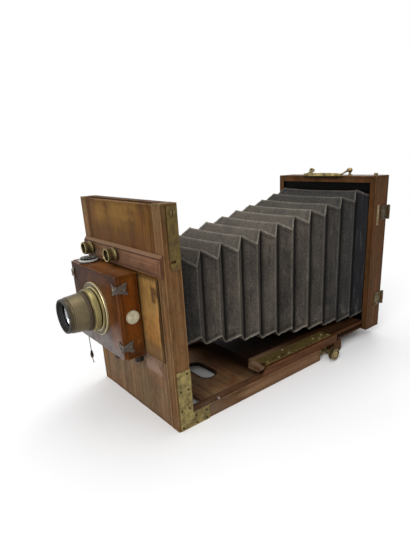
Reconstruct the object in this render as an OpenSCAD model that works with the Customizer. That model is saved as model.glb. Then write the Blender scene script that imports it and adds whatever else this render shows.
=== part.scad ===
// Wooden field camera with a boxed lens shutter, pleated bellows and a sliding tailboard.
// Millimetres. X runs to the right as seen from the lens side, Y runs back, Z is up.
// The origin is the middle of the tripod bush, on the face that meets a tripod head.

/* [Front frame] */
// Width over both stiles
front_w = 158; // [140:1:190]
// Height of the stiles
front_h = 216; // [216:1:240]
// Depth of the stiles, front to back
front_t = 17; // [16:0.5:24]
// Width of a stile seen from the front
stile_w = 12; // [10:0.5:18]
// Height of the fixed lower board
lower_board_h = 68; // [60:1:68]
// Thickness of the thin front boards
board_t = 4; // [3:0.5:5]
// Height of the sill behind the lower board
sill_h = 20; // [14:1:30]
// Clearance between wooden pieces that slide on each other
slide_gap = 0.3; // [0.2:0.05:0.5]

// Height of a corner plate on its stile
corner_h = 63; // [50:1:66]
// Distance from the front face to the rear end of a corner plate
corner_y = 37; // [30:1:44]
// Thickness of a corner plate
corner_t = 0.8; // [0.5:0.1:1.2]
// Radius of a nail's head
nail_r = 1.1; // [0.8:0.1:1.3]

/* [Rising front] */
// Depth of the stile groove that guides the rising board
groove_depth = 4; // [3:0.5:5]
// Height of the rising board's lower edge
rising_low = 40; // [30:1:44]
// How far the rising board ends below the top of the stiles
rising_top_drop = 8; // [4:0.5:14]
// How far the front panel ends below the top of the stiles
panel_top_drop = 1; // [0.5:0.5:4]
// Half the width of the space inside the panel's bead
bead_x = 60; // [50:1:62]
// Height of the lens board's upper edge
lens_board_top = 150; // [146:0.5:152]
// Gap between the lens board and each stile
lens_board_side_gap = 3; // [1:0.5:5]
// Gap from the shutter box up to the cross bar
bar_gap = 2.5; // [2:0.5:5]
// Height of the cross bar itself
bar_h = 19.5; // [16:0.5:24]
// Thickness of the cross bar
bar_t = 3.5; // [2.5:0.25:4]
// Distance from the cross bar's ends to the sides of the frame
bar_end_inset = 2; // [0:0.5:6]

/* [Thumbscrews] */
// Place of the left thumbscrew across the frame
thumb_left_x = -54; // [-58:0.5:-40]
// Place of the right thumbscrew across the frame
thumb_right_x = -1; // [-6:0.5:10]
// Radius of a thumbscrew's head
thumb_r = 6.5; // [5:0.25:7.5]
// Length of a thumbscrew's head
thumb_len = 11; // [8:0.5:13]
// Radius of a thumbscrew's shank
thumb_shank_r = 2; // [1.5:0.25:3]

/* [Shutter box] */
// Lens axis across the frame, set over to the left
lens_x = -19.2; // [-20:0.1:-18]
// Height of the lens axis
lens_z = 110; // [108:0.5:112]
// Sideways travel of the shutter box from its place at rest
cross_travel = 24; // [10:1:25]
// Width of the shutter box
box_w = 102; // [92:1:104]
// Height of the shutter box
box_h = 84; // [76:1:84]
// Depth of the wooden case without its lid and slide plate
box_t = 18.8; // [17:0.2:22]
// Thickness of the box's boards
box_wall = 3.5; // [3:0.25:4.5]
// Thickness of the lid
lid_t = 3; // [2:0.5:4]
// How far the lid is set in from the box on each side
lid_inset = 0.6; // [0.3:0.1:1.5]
// Thickness of the slide plate behind the box
slide_plate_t = 2.5; // [2:0.25:3.5]
// How far the slide plate is set in from the box's edges
slide_plate_inset = 6; // [4:0.5:10]
// Outer radius of the mounting tube behind the box
tube_r = 20; // [19:0.5:21]
// Wall of the mounting tube
tube_wall = 2; // [1.5:0.25:3]
// Outer radius of the ring that holds the box to the rising board
retainer_r = 23.5; // [22:0.5:24]
// Thickness of the retaining ring
retainer_t = 1.6; // [1:0.1:2]

/* [Shutter fittings] */
// Distance of each blind roller from the side of the box
roller_side = 22.7; // [20:0.1:24]
// Radius of a blind roller
roller_r = 4.5; // [3.5:0.25:5]
// Radius of a roller axle
axle_r = 1.5; // [1:0.25:2]
// Radius of the setting dial
dial_r = 9.8; // [8:0.2:10.2]
// Height of the setting dial
dial_h = 4.4; // [3:0.2:5]
// Radius of the bare disc on the side of the box
disc_r = 6.7; // [5:0.25:8]
// Thickness of the bare disc
disc_t = 0.8; // [0.4:0.1:1.5]
// Height of a lid clip
clip_h = 9.5; // [7:0.5:12]
// Thickness of a lid clip
clip_t = 1; // [0.6:0.1:1.5]
// Reach of a lid clip's leg over the lid
clip_reach = 6.5; // [5:0.5:8]
// Reach of a lid clip's leg along the side of the case
clip_side = 8.5; // [6:0.5:10]
// Distance of each lid clip from the lens axis, up or down
clip_z = 29; // [24:0.5:34]
// Radius of the release pin
release_r = 1.6; // [1.2:0.1:2.4]
// Travel of the release pin
release_travel = 1.5; // [1:0.25:2]
// Radius of the studs under the box
stud_r = 4.5; // [3:0.25:5]
// Height of the studs under the box
stud_h = 6; // [4:0.5:8]
// Radius of the pull cord
cord_r = 0.45; // [0.3:0.05:0.8]
// Radius of the wooden bead on the pull cord
bead_r = 1.8; // [1.4:0.1:2.5]
// Length of the wooden bead on the pull cord
bead_len = 8.5; // [5:0.5:9]

/* [Lens] */
// Radius of the lens flange
flange_r = 27.4; // [26:0.2:29]
// Thickness of the lens flange
flange_t = 2; // [1.5:0.25:3]
// Radius of the brass collar
collar_r = 21.6; // [20:0.2:23]
// Length of the brass collar in front of the flange
collar_len = 9.3; // [7:0.25:12]
// Radius of the iris ring
iris_ring_r = 19.7; // [18.9:0.1:20.5]
// Length of the iris ring
iris_ring_len = 4; // [3:0.25:6]
// Radius of the barrel behind its taper
barrel_r = 19.4; // [18:0.2:21]
// Radius of the barrel's front rim
rim_r = 17.1; // [16:0.2:18]
// Length of the barrel in front of the iris ring
barrel_len = 19; // [16:0.5:24]
// Inner radius of the barrel
barrel_bore_r = 14.6; // [13:0.2:15]
// Depth of the hood in front of the glass
hood_depth = 9; // [6:0.5:11]
// Radius of the iris opening
iris_open_r = 6; // [2:0.5:10]

/* [Strap latches] */
// Width of a strap
strap_w = 10.6; // [8:0.2:12]
// Thickness of a strap
strap_t = 1.5; // [1:0.25:2.5]
// Distance from a strap's screw to its lower end
strap_len = 49; // [40:1:60]
// Distance of the strap's screw from the top of the stile
strap_screw_drop = 8; // [6:0.5:12]
// Distance of the strap's middle from the front face
strap_y = 10.4; // [8:0.2:11]
// Radius of a strap screw's shank
strap_shank_r = 1.6; // [1:0.1:2]
// Radius of a strap screw's head
strap_head_r = 3; // [2.4:0.1:4]
// Depth of a strap screw in its stile
strap_screw_in = 6; // [5:0.5:9]

/* [Bed] */
// Width of a bed rail
rail_w = 12; // [10:0.5:16]
// Height of a bed rail
rail_h = 15; // [13:0.5:18]
// Distance from the front face to the rails' rear end
rail_end_y = 216; // [200:1:220]
// Distance from the front face to the upper end of the scarf joint
scarf_top_y = 50; // [44:1:60]
// Distance from the front face to the lower end of the scarf joint
scarf_low_y = 92; // [80:1:110]
// Thickness of the base board
base_t = 4; // [3:0.5:5]
// Height of the base board's underside
base_low = 2; // [1.5:0.25:3]
// Distance from the front face to the base board's front edge
base_front_y = 46; // [40:1:50]
// Distance from the front face to the middle of the oblong hole
oblong_y = 86; // [78:1:92]
// Length of the oblong hole across the bed
oblong_len = 44; // [30:1:60]
// Width of the oblong hole along the bed
oblong_w = 20; // [14:1:24]
// Distance from the front face to the tripod bush
tripod_y = 150; // [130:1:165]
// Radius of the tapped hole in the tripod bush
tripod_bore_r = 3.97; // [3.1:0.01:4.2]
// Radius of the tripod bush's barrel
bush_r = 8; // [6:0.5:10]
// Radius of the tripod bush's flange
bush_flange_r = 20; // [14:0.5:24]
// Distance from the front face to the front of the cross block
block_y = 246; // [240:1:250]
// Depth of the cross block, front to back
block_d = 14; // [10:1:20]

/* [Guide walls] */
// Thickness of a guide wall
wall_t = 3; // [2.5:0.25:4]
// Height of a guide wall above the rails
wall_h = 10; // [8.5:0.1:10.5]
// Length of the slope at a guide wall's front end
wall_slope = 10; // [4:1:14]
// Distance from the front face to the front of the guide walls
wall_front_y = 118; // [110:1:130]
// Distance from the front face to the rear of the guide walls
wall_rear_y = 250; // [247:1:255]
// How far the bead on each guide wall reaches into the tailboard
bead_depth = 2.5; // [1.5:0.25:3]
// Height of the bead on each guide wall
bead_h = 3; // [2:0.25:4]
// Height of the bead above the rails
bead_rise = 4.3; // [3:0.1:5]

/* [Tailboard] */
// Thickness of the tailboard
tail_t = 10.5; // [9:0.25:11]
// Distance from the front face to the tailboard's front edge
tail_front_y = 120; // [112:1:124]
// Distance from the front face to the back frame
back_y = 314.5; // [308:0.5:320]
// Width of a brass runner plate
plate_w = 16; // [12:0.5:18]
// Length of a brass runner plate
plate_len = 118; // [100:1:120]
// Thickness of a brass runner plate
plate_t = 1; // [0.5:0.1:1.5]
// Width of a cleat across the tailboard's front edge
cleat_w = 19; // [14:1:24]
// Thickness of a cleat
cleat_t = 6; // [4:0.5:8]
// How far a cleat stands out ahead of the tailboard
cleat_out = 8; // [5:0.5:8]
// Gap from the tailboard's side to a runner plate
plate_edge = 0.7; // [0.5:0.1:3]

/* [Focusing gear] */
// Distance from the front face to the pinion shaft
shaft_y = 229; // [226:0.5:234]
// Radius of the pinion shaft
shaft_r = 2; // [1.5:0.1:2.4]
// Tooth module of racks and pinions
gear_module = 0.75; // [0.75:0.05:0.8]
// Teeth on a pinion
pinion_teeth = 12; // [11:1:12]
// Width of a pinion
pinion_w = 5; // [3:0.5:6]
// Distance from the middle to the middle of a pinion
pinion_x = 60; // [54:0.5:61]
// Teeth on a rack
rack_teeth = 37; // [37:1:38]
// Radius of the focusing knob
knob_r = 7.3; // [6:0.1:8]
// Thickness of the focusing knob
knob_t = 6; // [4:0.5:8]
// Distance from the side of the frame to the knob
knob_reach = 8; // [5:0.5:12]

/* [Back frame] */
// Width of the back frame
back_w = 163; // [159:0.5:170]
// Height of the back frame's underside
back_low = 13; // [12:0.5:14.5]
// Height of the back frame's top
back_top = 220; // [214:0.5:226]
// Depth of the back frame
back_t = 29.5; // [26:0.5:34]
// Thickness of the back frame's boards
back_wall = 8.5; // [7:0.25:10]
// Height of the back frame's lower rail
back_rail_h = 11; // [9:0.5:13]
// Thickness of the focusing screen's frame
screen_t = 7.7; // [6:0.1:9]
// Width of the focusing screen frame's members
screen_member = 14; // [10:0.5:20]
// Thickness of the ground glass
glass_t = 2; // [1.5:0.25:3]
// Height of a back hinge
hinge_h = 18; // [14:1:24]
// Thickness of a hinge leaf
leaf_t = 1; // [0.6:0.1:1.5]
// Radius of a hinge knuckle
knuckle_r = 1.9; // [1.7:0.1:2.6]
// Radius of a hinge pin
pin_r = 0.8; // [0.6:0.1:1]
// Height of the upper hinge's middle
hinge_high_z = 173; // [150:1:190]
// Height of the lower hinge's middle
hinge_low_z = 55; // [40:1:80]

/* [Carrying handle] */
// Distance between the two ball studs
stud_span = 65; // [50:1:90]
// Radius of a stud's ball
ball_r = 3.4; // [2.6:0.1:4]
// Height of the ball's middle above the back frame
ball_rise = 6.5; // [6:0.25:9]
// Radius of the handle's arms
arm_r = 1.3; // [1:0.1:1.6]
// Radius of the handle's grip
grip_r = 3; // [2.2:0.1:3.2]
// Drop of the grip below the ball studs at rest
grip_drop = 5.5; // [5:0.25:6]

/* [Bellows] */
// Number of pleats
pleats = 11; // [8:1:14]
// Length of the straight front collar
collar_y = 4.2; // [2:0.2:8]
// Outer half width at the front
bellows_front_x = 55; // [52:0.5:58]
// Outer half width at the rear
bellows_rear_x = 71.5; // [66:0.5:72]
// Height of the top ridge at the front
bellows_front_top = 161; // [158:0.5:166]
// Height of the top ridge at the rear
bellows_rear_top = 206; // [190:1:207]
// Height of the bottom ridge at the front
bellows_front_low = 72; // [68:0.5:74]
// Height of the bottom ridge at the rear
bellows_rear_low = 28.5; // [28:0.5:40]
// Depth of a pleat at the front
pleat_front = 12; // [8:0.5:14]
// Depth of a pleat at the rear
pleat_rear = 9; // [6:0.5:12]
// Thickness of the bellows cloth
cloth_t = 1; // [0.6:0.1:1.6]
// Thickness of the bellows' wooden end rings
ring_t = 3; // [2:0.25:5]
// Width of the front ring around its opening
ring_w = 9; // [7:0.5:10]
// Half the width of the opening in the inner front frame
opening_x = 46; // [45:0.5:48]
// Height of the lower edge of that opening
opening_low = 80; // [76:0.5:81]
// Height of the upper edge of that opening
opening_top = 153; // [152.5:0.5:158]

/* [Hidden] */
$fn = 64;

fit = 0.05;
half_front = front_w / 2;
stile_in = half_front - stile_w;
groove_y = board_t;
groove_w = board_t + 2 * slide_gap;
inner_y = groove_y + groove_w;
rising_y = board_t + slide_gap;
rising_travel = 18;
tube_back_y = rising_y + board_t + slide_gap;

case_back = -slide_plate_t;
case_front = case_back - box_t;
lid_front = case_front - lid_t;
ferrule_r = 1.3;
case_low = lens_z - box_h / 2;
case_top = lens_z + box_h / 2;
bar_low = case_top + bar_gap;
bar_z = bar_low + bar_h / 2 + 1.2;
case_left = lens_x - box_w / 2;
case_right = lens_x + box_w / 2;
roller_y = -slide_gap - bar_t - slide_gap - dial_r;
roller_left_x = case_left + roller_side;
roller_right_x = case_right - roller_side;
flange_y = lid_front - flange_t;
collar_front = flange_y - collar_len;
iris_front = collar_front - iris_ring_len;
barrel_front = iris_front - barrel_len;

rail_in = half_front - rail_w;
base_top = base_low + base_t;
block_rear = block_y + block_d;
wall_in = half_front - wall_t;
tail_low = rail_h + 0.5;
tail_top = tail_low + tail_t;
tail_half = wall_in - slide_gap;
bead_z = rail_h + bead_rise;
pitch = PI * gear_module;
pinion_r = gear_module * pinion_teeth / 2;
rack_tooth = gear_module;
rack_root = tail_low - 1.3;
shaft_z = rack_root - 1.2 * gear_module - pinion_r + 0.2 * gear_module;
rack_first_y = shaft_y - 11 * pitch;
shaft_end = half_front + knob_reach;

back_half = back_w / 2;
back_rear = back_y + back_t;
screen_front = back_rear + slide_gap - screen_t;
leaf_y = back_rear + slide_gap;
hinge_x = back_half + knuckle_r - 0.4;
hinge_y = leaf_y + knuckle_r;
bail_y = back_y + back_t / 2;
bail_z = back_top + ball_rise;
grip_back = back_t / 2 + grip_r + 0.5;
ball_flat = 1.1;
pivot_r = 0.9;

bellows_y = front_t + ring_t;
front_tuck = 4;
bellows_end = back_y + 2.3;
pleat_y = (bellows_end - bellows_y - collar_y) / pleats;

// The pull cord's route from the ferrule down to the bead
cord_exit = [case_left + 5.4, case_front + 1.8, case_low];
cord_route = [
  [0, 0, 0], [0, 0, -3], [0.1, 0, -7], [0.1, 0, -11], [0.2, 0, -15], [0.4, 0, -19], [0.5, 0, -22],
  [0.5, 0, -26], [0.5, 0, -31], [0.8, 0, -31.8], [1.4, 0, -32.6], [2.2, 0, -33.4], [2.9, 0, -34]
];
cord_end = cord_exit + cord_route[len(cord_route) - 1];

// Lengths along Y are measured from the front face, which lies ahead of the origin
module datum() {
  translate([0, -tripod_y, 0]) children();
}

module block(x, y, z) {
  translate([x[0], y[0], z[0]]) cube([x[1] - x[0], y[1] - y[0], z[1] - z[0]]);
}

module mirrored(side) {
  if (side < 0) mirror([1, 0, 0]) children();
  else children();
}

module both() {
  children();
  mirror([1, 0, 0]) children();
}

// A round bar along Y between two depths
module bar_y(r, x, z, y) {
  translate([x, y[0], z]) rotate([-90, 0, 0]) cylinder(r = r, h = y[1] - y[0]);
}

// A round bar along X between two places
module bar_x(r, y, z, x) {
  translate([x[0], y, z]) rotate([0, 90, 0]) cylinder(r = r, h = x[1] - x[0]);
}

// A shape turned about the lens axis, its outline given as radius and distance to the front
module turned_y(outline) {
  translate([lens_x, 0, lens_z]) rotate([90, 0, 0]) rotate_extrude($fn = 96) polygon(outline);
}

module tube_y(outer, inner, y) {
  turned_y([[inner, -y[1]], [outer, -y[1]], [outer, -y[0]], [inner, -y[0]]]);
}

// Four boards round an opening
module four_boards(out_x, out_z, in_x, in_z, y) {
  block([-out_x, out_x], y, [in_z[1], out_z[1]]);
  block([-out_x, out_x], y, [out_z[0], in_z[0]]);
  both() block([in_x, out_x], y, in_z);
}

// An oblong with round ends, laid along X
module oblong(length, width) {
  reach = (length - width) / 2;
  square([2 * reach, width], center = true);
  for (side = [-1, 1]) translate([side * reach, 0]) circle(d = width);
}

module front_stile(side) {
  color("sienna") datum() mirrored(side) difference() {
    block([stile_in, half_front], [0, front_t], [0, front_h]);
    block([stile_in - 1, stile_in + groove_depth], [groove_y, inner_y], [rising_low - 3, front_h + 1]);
    bar_x(strap_shank_r, strap_y, front_h - strap_screw_drop,
          [half_front - strap_screw_in, half_front + 1]);
  }
}

module front_stile_left() {
  front_stile(-1);
}

module front_stile_right() {
  front_stile(1);
}

module front_lower_board() {
  color("peru") datum() block([-stile_in, stile_in], [0, board_t], [0, lower_board_h]);
}

module front_sill() {
  color("saddlebrown") datum() block([-stile_in, stile_in], [board_t, front_t], [0, sill_h]);
}

module front_inner_frame() {
  color("saddlebrown") datum()
    four_boards(stile_in, [sill_h, front_h], opening_x, [opening_low, opening_top], [inner_y, front_t]);
}

module corner_plate(side) {
  foot_y = front_t + 0.5;
  color("darkkhaki") datum() mirrored(side) {
    block([half_front, half_front + corner_t], [2, foot_y], [0, corner_h]);
    block([half_front, half_front + corner_t], [foot_y, corner_y], [0, rail_h]);
  }
}

module corner_plate_left() {
  corner_plate(-1);
}

module corner_plate_right() {
  corner_plate(1);
}

// Nails as shares of the plate's depth and height, first on the stile and then on the foot
module plate_nails() {
  upper = [[0.79, 0.94], [0.29, 0.68], [0.81, 0.67], [0.26, 0.35], [0.79, 0.35], [0.29, 0.05]];
  foot = [[0.55, 0.73], [0.9, 0.76], [0.91, 0.2], [0.57, 0.18]];
  places = concat([for (p = upper) [p[0] * front_t, p[1] * corner_h]],
                  [for (p = foot) [p[0] * corner_y, p[1] * rail_h]]);
  color("dimgray") datum() both() for (p = places)
    bar_x(nail_r, p[0], p[1], [half_front + corner_t, half_front + corner_t + nail_r * 0.36]);
}

// One half of a bed rail, drawn from the side and cut by the scarf joint
module rail_part(side, outline) {
  color("sienna") datum() mirrored(side)
    translate([rail_in, 0, 0]) rotate([90, 0, 90]) linear_extrude(rail_w) polygon(outline);
}

module bed_rail_front(side) {
  rail_part(side, [[front_t, 0], [scarf_low_y, 0], [scarf_top_y, rail_h], [front_t, rail_h]]);
}

module bed_rail_rear(side) {
  rail_part(side, [[scarf_low_y, 0], [rail_end_y, 0], [rail_end_y, rail_h], [scarf_top_y, rail_h]]);
}

module bed_rail_front_left() {
  bed_rail_front(-1);
}

module bed_rail_front_right() {
  bed_rail_front(1);
}

module bed_rail_rear_left() {
  bed_rail_rear(-1);
}

module bed_rail_rear_right() {
  bed_rail_rear(1);
}

module base_board() {
  window = pinion_r + gear_module + 2;
  color("saddlebrown") datum() difference() {
    block([-rail_in, rail_in], [base_front_y, block_y], [base_low, base_top]);
    translate([0, oblong_y, base_low - 1]) linear_extrude(base_t + 2) oblong(oblong_len, oblong_w);
    translate([0, tripod_y, base_low - 1]) cylinder(r = bush_r, h = base_t + 2);
    both() block([pinion_x - pinion_w / 2 - 1.5, pinion_x + pinion_w / 2 + 1.5],
                 [shaft_y - window, shaft_y + window], [base_low - 1, base_top + 1]);
  }
}

module tripod_bush() {
  color("goldenrod") difference() {
    union() {
      cylinder(r = bush_flange_r, h = base_low);
      cylinder(r = bush_r, h = base_top);
    }
    translate([0, 0, -1]) cylinder(r = tripod_bore_r, h = base_top + 2);
  }
}

module guide_wall(side) {
  color("brown") datum() mirrored(side) {
    translate([wall_in, 0, rail_h]) rotate([90, 0, 90]) linear_extrude(wall_t)
      polygon([[wall_front_y - wall_slope / 2, 0], [wall_rear_y, 0], [wall_rear_y, wall_h],
               [wall_front_y + wall_slope / 2, wall_h]]);
    block([wall_in - bead_depth, wall_in], [wall_front_y + wall_slope / 2, wall_rear_y],
          [bead_z, bead_z + bead_h]);
  }
}

module guide_wall_left() {
  guide_wall(-1);
}

module guide_wall_right() {
  guide_wall(1);
}

module rear_cross_block() {
  notch = pinion_w / 2 + 1.5;
  round_r = 5;
  color("saddlebrown") datum() difference() {
    translate([-half_front, 0, 0]) rotate([90, 0, 90]) linear_extrude(front_w) union() {
      translate([block_y, 0]) square([block_d - round_r, rail_h]);
      translate([block_rear - round_r, round_r]) square([round_r, rail_h - round_r]);
      translate([block_rear - round_r, round_r]) circle(r = round_r);
    }
    both() block([pinion_x - notch, pinion_x + notch], [block_y - 1, block_rear + 1],
                 [rack_root - gear_module - 1, rail_h + 1]);
  }
}

module shaft_bearings() {
  color("goldenrod") datum() both() difference() {
    block([rail_in + 3, rail_in + 6], [rail_end_y, shaft_y + 6], [base_low, rail_h - 0.8]);
    bar_x(shaft_r + fit, shaft_y, shaft_z, [rail_in + 2, rail_in + 7]);
  }
}

module strap_screws() {
  head_x = half_front + slide_gap + strap_t + 0.2;
  color("goldenrod") datum() both() translate([0, strap_y, front_h - strap_screw_drop]) {
    bar_x(strap_shank_r, 0, 0, [half_front - strap_screw_in, head_x]);
    bar_x(strap_head_r, 0, 0, [head_x, head_x + strap_head_r * 0.4]);
  }
}

module rail_pins() {
  color("silver") datum() both() translate([half_front - 2.5, scarf_top_y + 1.5, rail_h])
    cylinder(r = 1.6, h = 1.4);
}

module bellows_front_ring() {
  color("saddlebrown") datum()
    four_boards(opening_x + ring_w, [opening_low - ring_w, opening_top + ring_w],
                opening_x, [opening_low, opening_top], [front_t, bellows_y]);
}

// Where the bellows' section stands t of the way from front to rear: half width, bottom and top
function bellows_x(t) = bellows_front_x + (bellows_rear_x - bellows_front_x) * t * t;
function bellows_top(t) =
  bellows_front_top + (bellows_rear_top - bellows_front_top) * t - 22 * t * (1 - t);
function bellows_low(t) =
  bellows_front_low + (bellows_rear_low - bellows_front_low) * t - 40 * t * (1 - t);
function pleat_depth(t) = pleat_front + (pleat_rear - pleat_front) * t;
function station_t(i) = i / (2 * pleats);
function station_y(i) = i < 0 ? bellows_y : bellows_y + collar_y + i * pleat_y / 2;

// The four corners of station i, drawn in by a skin: the sides stand out where the top is folded in
function section(i, skin) =
  let (t = station_t(max(i, 0)), odd = i < 0 ? 0 : i % 2, d = i > 0 ? pleat_depth(t) : front_tuck,
       x = bellows_x(t) - odd * d - skin,
       top = bellows_top(t) - (1 - odd) * d - skin,
       low = bellows_low(t) + (1 - odd) * d + skin,
       y = station_y(i))
  [[-x, y, low], [x, y, low], [x, y, top], [-x, y, top]];

module bellows() {
  stations = [for (i = [-1:2 * pleats]) i];
  n = len(stations);
  outer = [for (i = stations) each section(i, 0)];
  inner = [for (i = stations) each section(i, cloth_t)];
  skin = [for (k = [0:n - 2], c = [0:3])
    let (a = 4 * k + c, b = 4 * k + (c + 1) % 4, a2 = a + 4, b2 = b + 4, odd = k % 2)
    each odd == 0 ? [[a, b, b2], [a, b2, a2]] : [[a, b, a2], [b, b2, a2]]];
  lining = [for (f = skin) [f[2] + 4 * n, f[1] + 4 * n, f[0] + 4 * n]];
  ends = [for (c = [0:3]) let (d = (c + 1) % 4, q = 4 * n, e = 4 * (n - 1))
    each [[c, q + c, q + d], [c, q + d, d],
          [e + d, q + e + d, q + e + c], [e + d, q + e + c, e + c]]];
  color("dimgray") datum() polyhedron(concat(outer, inner), concat(skin, lining, ends));
}

module rising_board() {
  slot_r = tube_r + 0.4;
  color("saddlebrown") datum() difference() {
    block([-stile_in - groove_depth + slide_gap, stile_in + groove_depth - slide_gap],
          [rising_y, rising_y + board_t], [rising_low, front_h - rising_top_drop]);
    translate([lens_x + cross_travel / 2, rising_y + board_t + 1, lens_z]) rotate([90, 0, 0])
      linear_extrude(board_t + 2)
      oblong(cross_travel + 2 * slot_r, 2 * slot_r);
  }
}

module front_panel() {
  bead = 0.8;
  color("peru") datum() difference() {
    block([-stile_in + slide_gap, stile_in - slide_gap], [slide_gap, rising_y],
          [lens_board_top + slide_gap, front_h - panel_top_drop]);
    both() block([bead_x, bead_x + bead], [slide_gap - 1, slide_gap + 0.6], [bar_low, front_h]);
    for (x = [thumb_left_x, thumb_right_x]) bar_y(thumb_shank_r + fit, x, bar_z, [-1, board_t + 1]);
  }
}

module cross_bar() {
  end = half_front - bar_end_inset;
  color("rosybrown") datum() difference() {
    union() {
      block([-end, end], [-slide_gap - bar_t, -slide_gap], [bar_low, bar_low + bar_h]);
      block([-stile_in + slide_gap, stile_in - slide_gap], [-slide_gap, slide_gap], [bar_low, bar_low + bar_h]);
    }
    for (x = [thumb_left_x, thumb_right_x])
      bar_y(thumb_shank_r + fit, x, bar_z, [-slide_gap - bar_t - 1, slide_gap + 1]);
  }
}

module lens_board() {
  slot_r = tube_r + 0.4;
  edge = stile_in - lens_board_side_gap;
  color("burlywood") datum() difference() {
    block([-edge, edge], [slide_gap, rising_y], [lower_board_h + 0.5, lens_board_top]);
    translate([lens_x + cross_travel / 2, rising_y + 1, lens_z]) rotate([90, 0, 0])
      linear_extrude(board_t + 2)
      oblong(cross_travel + 2 * slot_r, 2 * slot_r);
  }
}

// A turned screw with a hollow head, waist and collar, lying along Y
module thumbscrew(x) {
  base = -slide_gap - bar_t - 0.2;
  color("goldenrod") datum() translate([x, base, bar_z]) rotate([90, 0, 0]) rotate_extrude()
    polygon([[0, -bar_t - 2], [thumb_shank_r, -bar_t - 2], [thumb_shank_r, 0], [thumb_r * 0.6, 0],
             [thumb_r * 0.6, 1.6], [thumb_r * 1.05, 2.2], [thumb_r * 1.05, 3.6], [thumb_r * 0.82, 4.6],
             [thumb_r * 0.8, 7], [thumb_r, 8.2], [thumb_r, thumb_len],
             [thumb_r - 1.2, thumb_len], [thumb_r - 1.6, thumb_len - 3], [0, thumb_len - 3]]);
}

module thumbscrew_left() {
  thumbscrew(thumb_left_x);
}

module thumbscrew_right() {
  thumbscrew(thumb_right_x);
}

module shutter_case() {
  color("firebrick") datum() difference() {
    union() {
      for (z = [[case_low, case_low + box_wall], [case_top - box_wall, case_top]])
        block([case_left, case_right], [case_front, case_back], z);
      for (x = [[case_left, case_left + box_wall], [case_right - box_wall, case_right]])
        block(x, [case_front, case_back], [case_low, case_top]);
      block([case_left, case_right], [case_back - box_wall, case_back], [case_low, case_top]);
    }
    bar_y(tube_r, lens_x, lens_z, [case_back - box_wall - 1, 1]);
    for (x = [roller_left_x, roller_right_x]) translate([x, roller_y, case_low + 1])
      cylinder(r = axle_r, h = box_h);
    translate([lens_x - 18, case_front + 2.4, case_low - 1]) cylinder(r = release_r + fit, h = box_wall + 2);
    translate(cord_exit - [0, 0, 1]) cylinder(r = ferrule_r, h = box_wall + 2);
  }
}

module shutter_lid() {
  edge = lid_inset;
  color("brown") datum() difference() {
    block([case_left + edge, case_right - edge], [lid_front, case_front], [case_low + edge, case_top - edge]);
    bar_y(barrel_bore_r + 2, lens_x, lens_z, [lid_front - 1, case_front + 1]);
  }
}

// A clip folded round the edge of the case, with a round screw head on each leg
module lid_clip(x, z, side) {
  front = lid_front - clip_t;
  translate([x, 0, z]) scale([side, 1, 1]) {
    block([-clip_reach, clip_t], [front, lid_front], [-clip_h / 2, clip_h / 2]);
    block([0, clip_t], [lid_front, case_front + clip_side], [-clip_h / 2, clip_h / 2]);
    bar_y(clip_h * 0.18, -clip_reach * 0.62, 0, [front - clip_t * 0.7, front]);
    bar_x(clip_h * 0.18, case_front + clip_side * 0.65, 0, [clip_t, clip_t * 1.7]);
  }
}

module lid_clips() {
  color("darkslategray") datum() for (z = [lens_z - clip_z, lens_z + clip_z]) {
    lid_clip(case_right, z, 1);
    lid_clip(case_left, z, -1);
  }
}

module side_disc() {
  color("ivory") datum() bar_x(disc_r, case_back - box_t * 0.45, lens_z, [case_right, case_right + disc_t]);
}

module slide_plate() {
  edge = slide_plate_inset;
  color("saddlebrown") datum() {
    difference() {
      block([case_left + edge, case_right - edge], [case_back, 0], [case_low + edge, case_top - edge]);
      bar_y(tube_r, lens_x, lens_z, [case_back - 1, 1]);
    }
    tube_y(tube_r, tube_r - tube_wall, [case_back - box_wall, tube_back_y]);
  }
}

module retaining_ring() {
  color("goldenrod") datum() tube_y(retainer_r, tube_r - tube_wall, [tube_back_y, tube_back_y + retainer_t]);
}

module roller_axles() {
  color("silver") datum() {
    translate([roller_left_x, roller_y, case_low + 1])
      cylinder(r = axle_r, h = box_h - 1 + dial_h - 1.2);
    translate([roller_right_x, roller_y, case_low + 1]) cylinder(r = axle_r, h = box_h - 1);
  }
}

module blind_roller(x) {
  low = case_low + box_wall + 0.5;
  high = case_top - box_wall - 0.5;
  color("tan") datum() translate([x, roller_y, 0]) difference() {
    union() {
      translate([0, 0, low]) cylinder(r = roller_r, h = high - low);
      translate([0, 0, low]) cylinder(r = roller_r + 1, h = 2);
      translate([0, 0, high - 2]) cylinder(r = roller_r + 1, h = 2);
    }
    translate([0, 0, case_low]) cylinder(r = axle_r + fit, h = box_h);
  }
}

module blind_roller_left() {
  blind_roller(roller_left_x);
}

module blind_roller_right() {
  blind_roller(roller_right_x);
}

module shutter_blind() {
  front = roller_y - roller_r - slide_gap;
  color("black") datum() block([roller_left_x, roller_right_x], [front - 0.5, front],
                               [case_low + box_wall + 3, case_top - box_wall - 3]);
}

module setting_dial() {
  color("gainsboro") datum() translate([roller_left_x, roller_y, case_top]) difference() {
    union() {
      translate([0, 0, 0.2]) cylinder(r = dial_r - 0.5, h = 1.4);
      translate([0, 0, 1.6]) cylinder(r = dial_r, h = 1.2);
      translate([0, 0, 2.8]) cylinder(r = dial_r - 1.6, h = dial_h - 2.8);
    }
    translate([0, 0, -1]) cylinder(r = axle_r + fit, h = dial_h);
  }
}

module release_pin() {
  color("dimgray") datum() translate([lens_x - 18, case_front + 2.4, case_low - 4])
    cylinder(r = release_r, h = 6);
}

module case_studs() {
  color("black") datum() for (p = [[24.2, -16.8], [46.4, -7]])
    translate([lens_x + p[0], p[1], case_low - stud_h]) cylinder(r = stud_r, h = stud_h);
}

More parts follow.
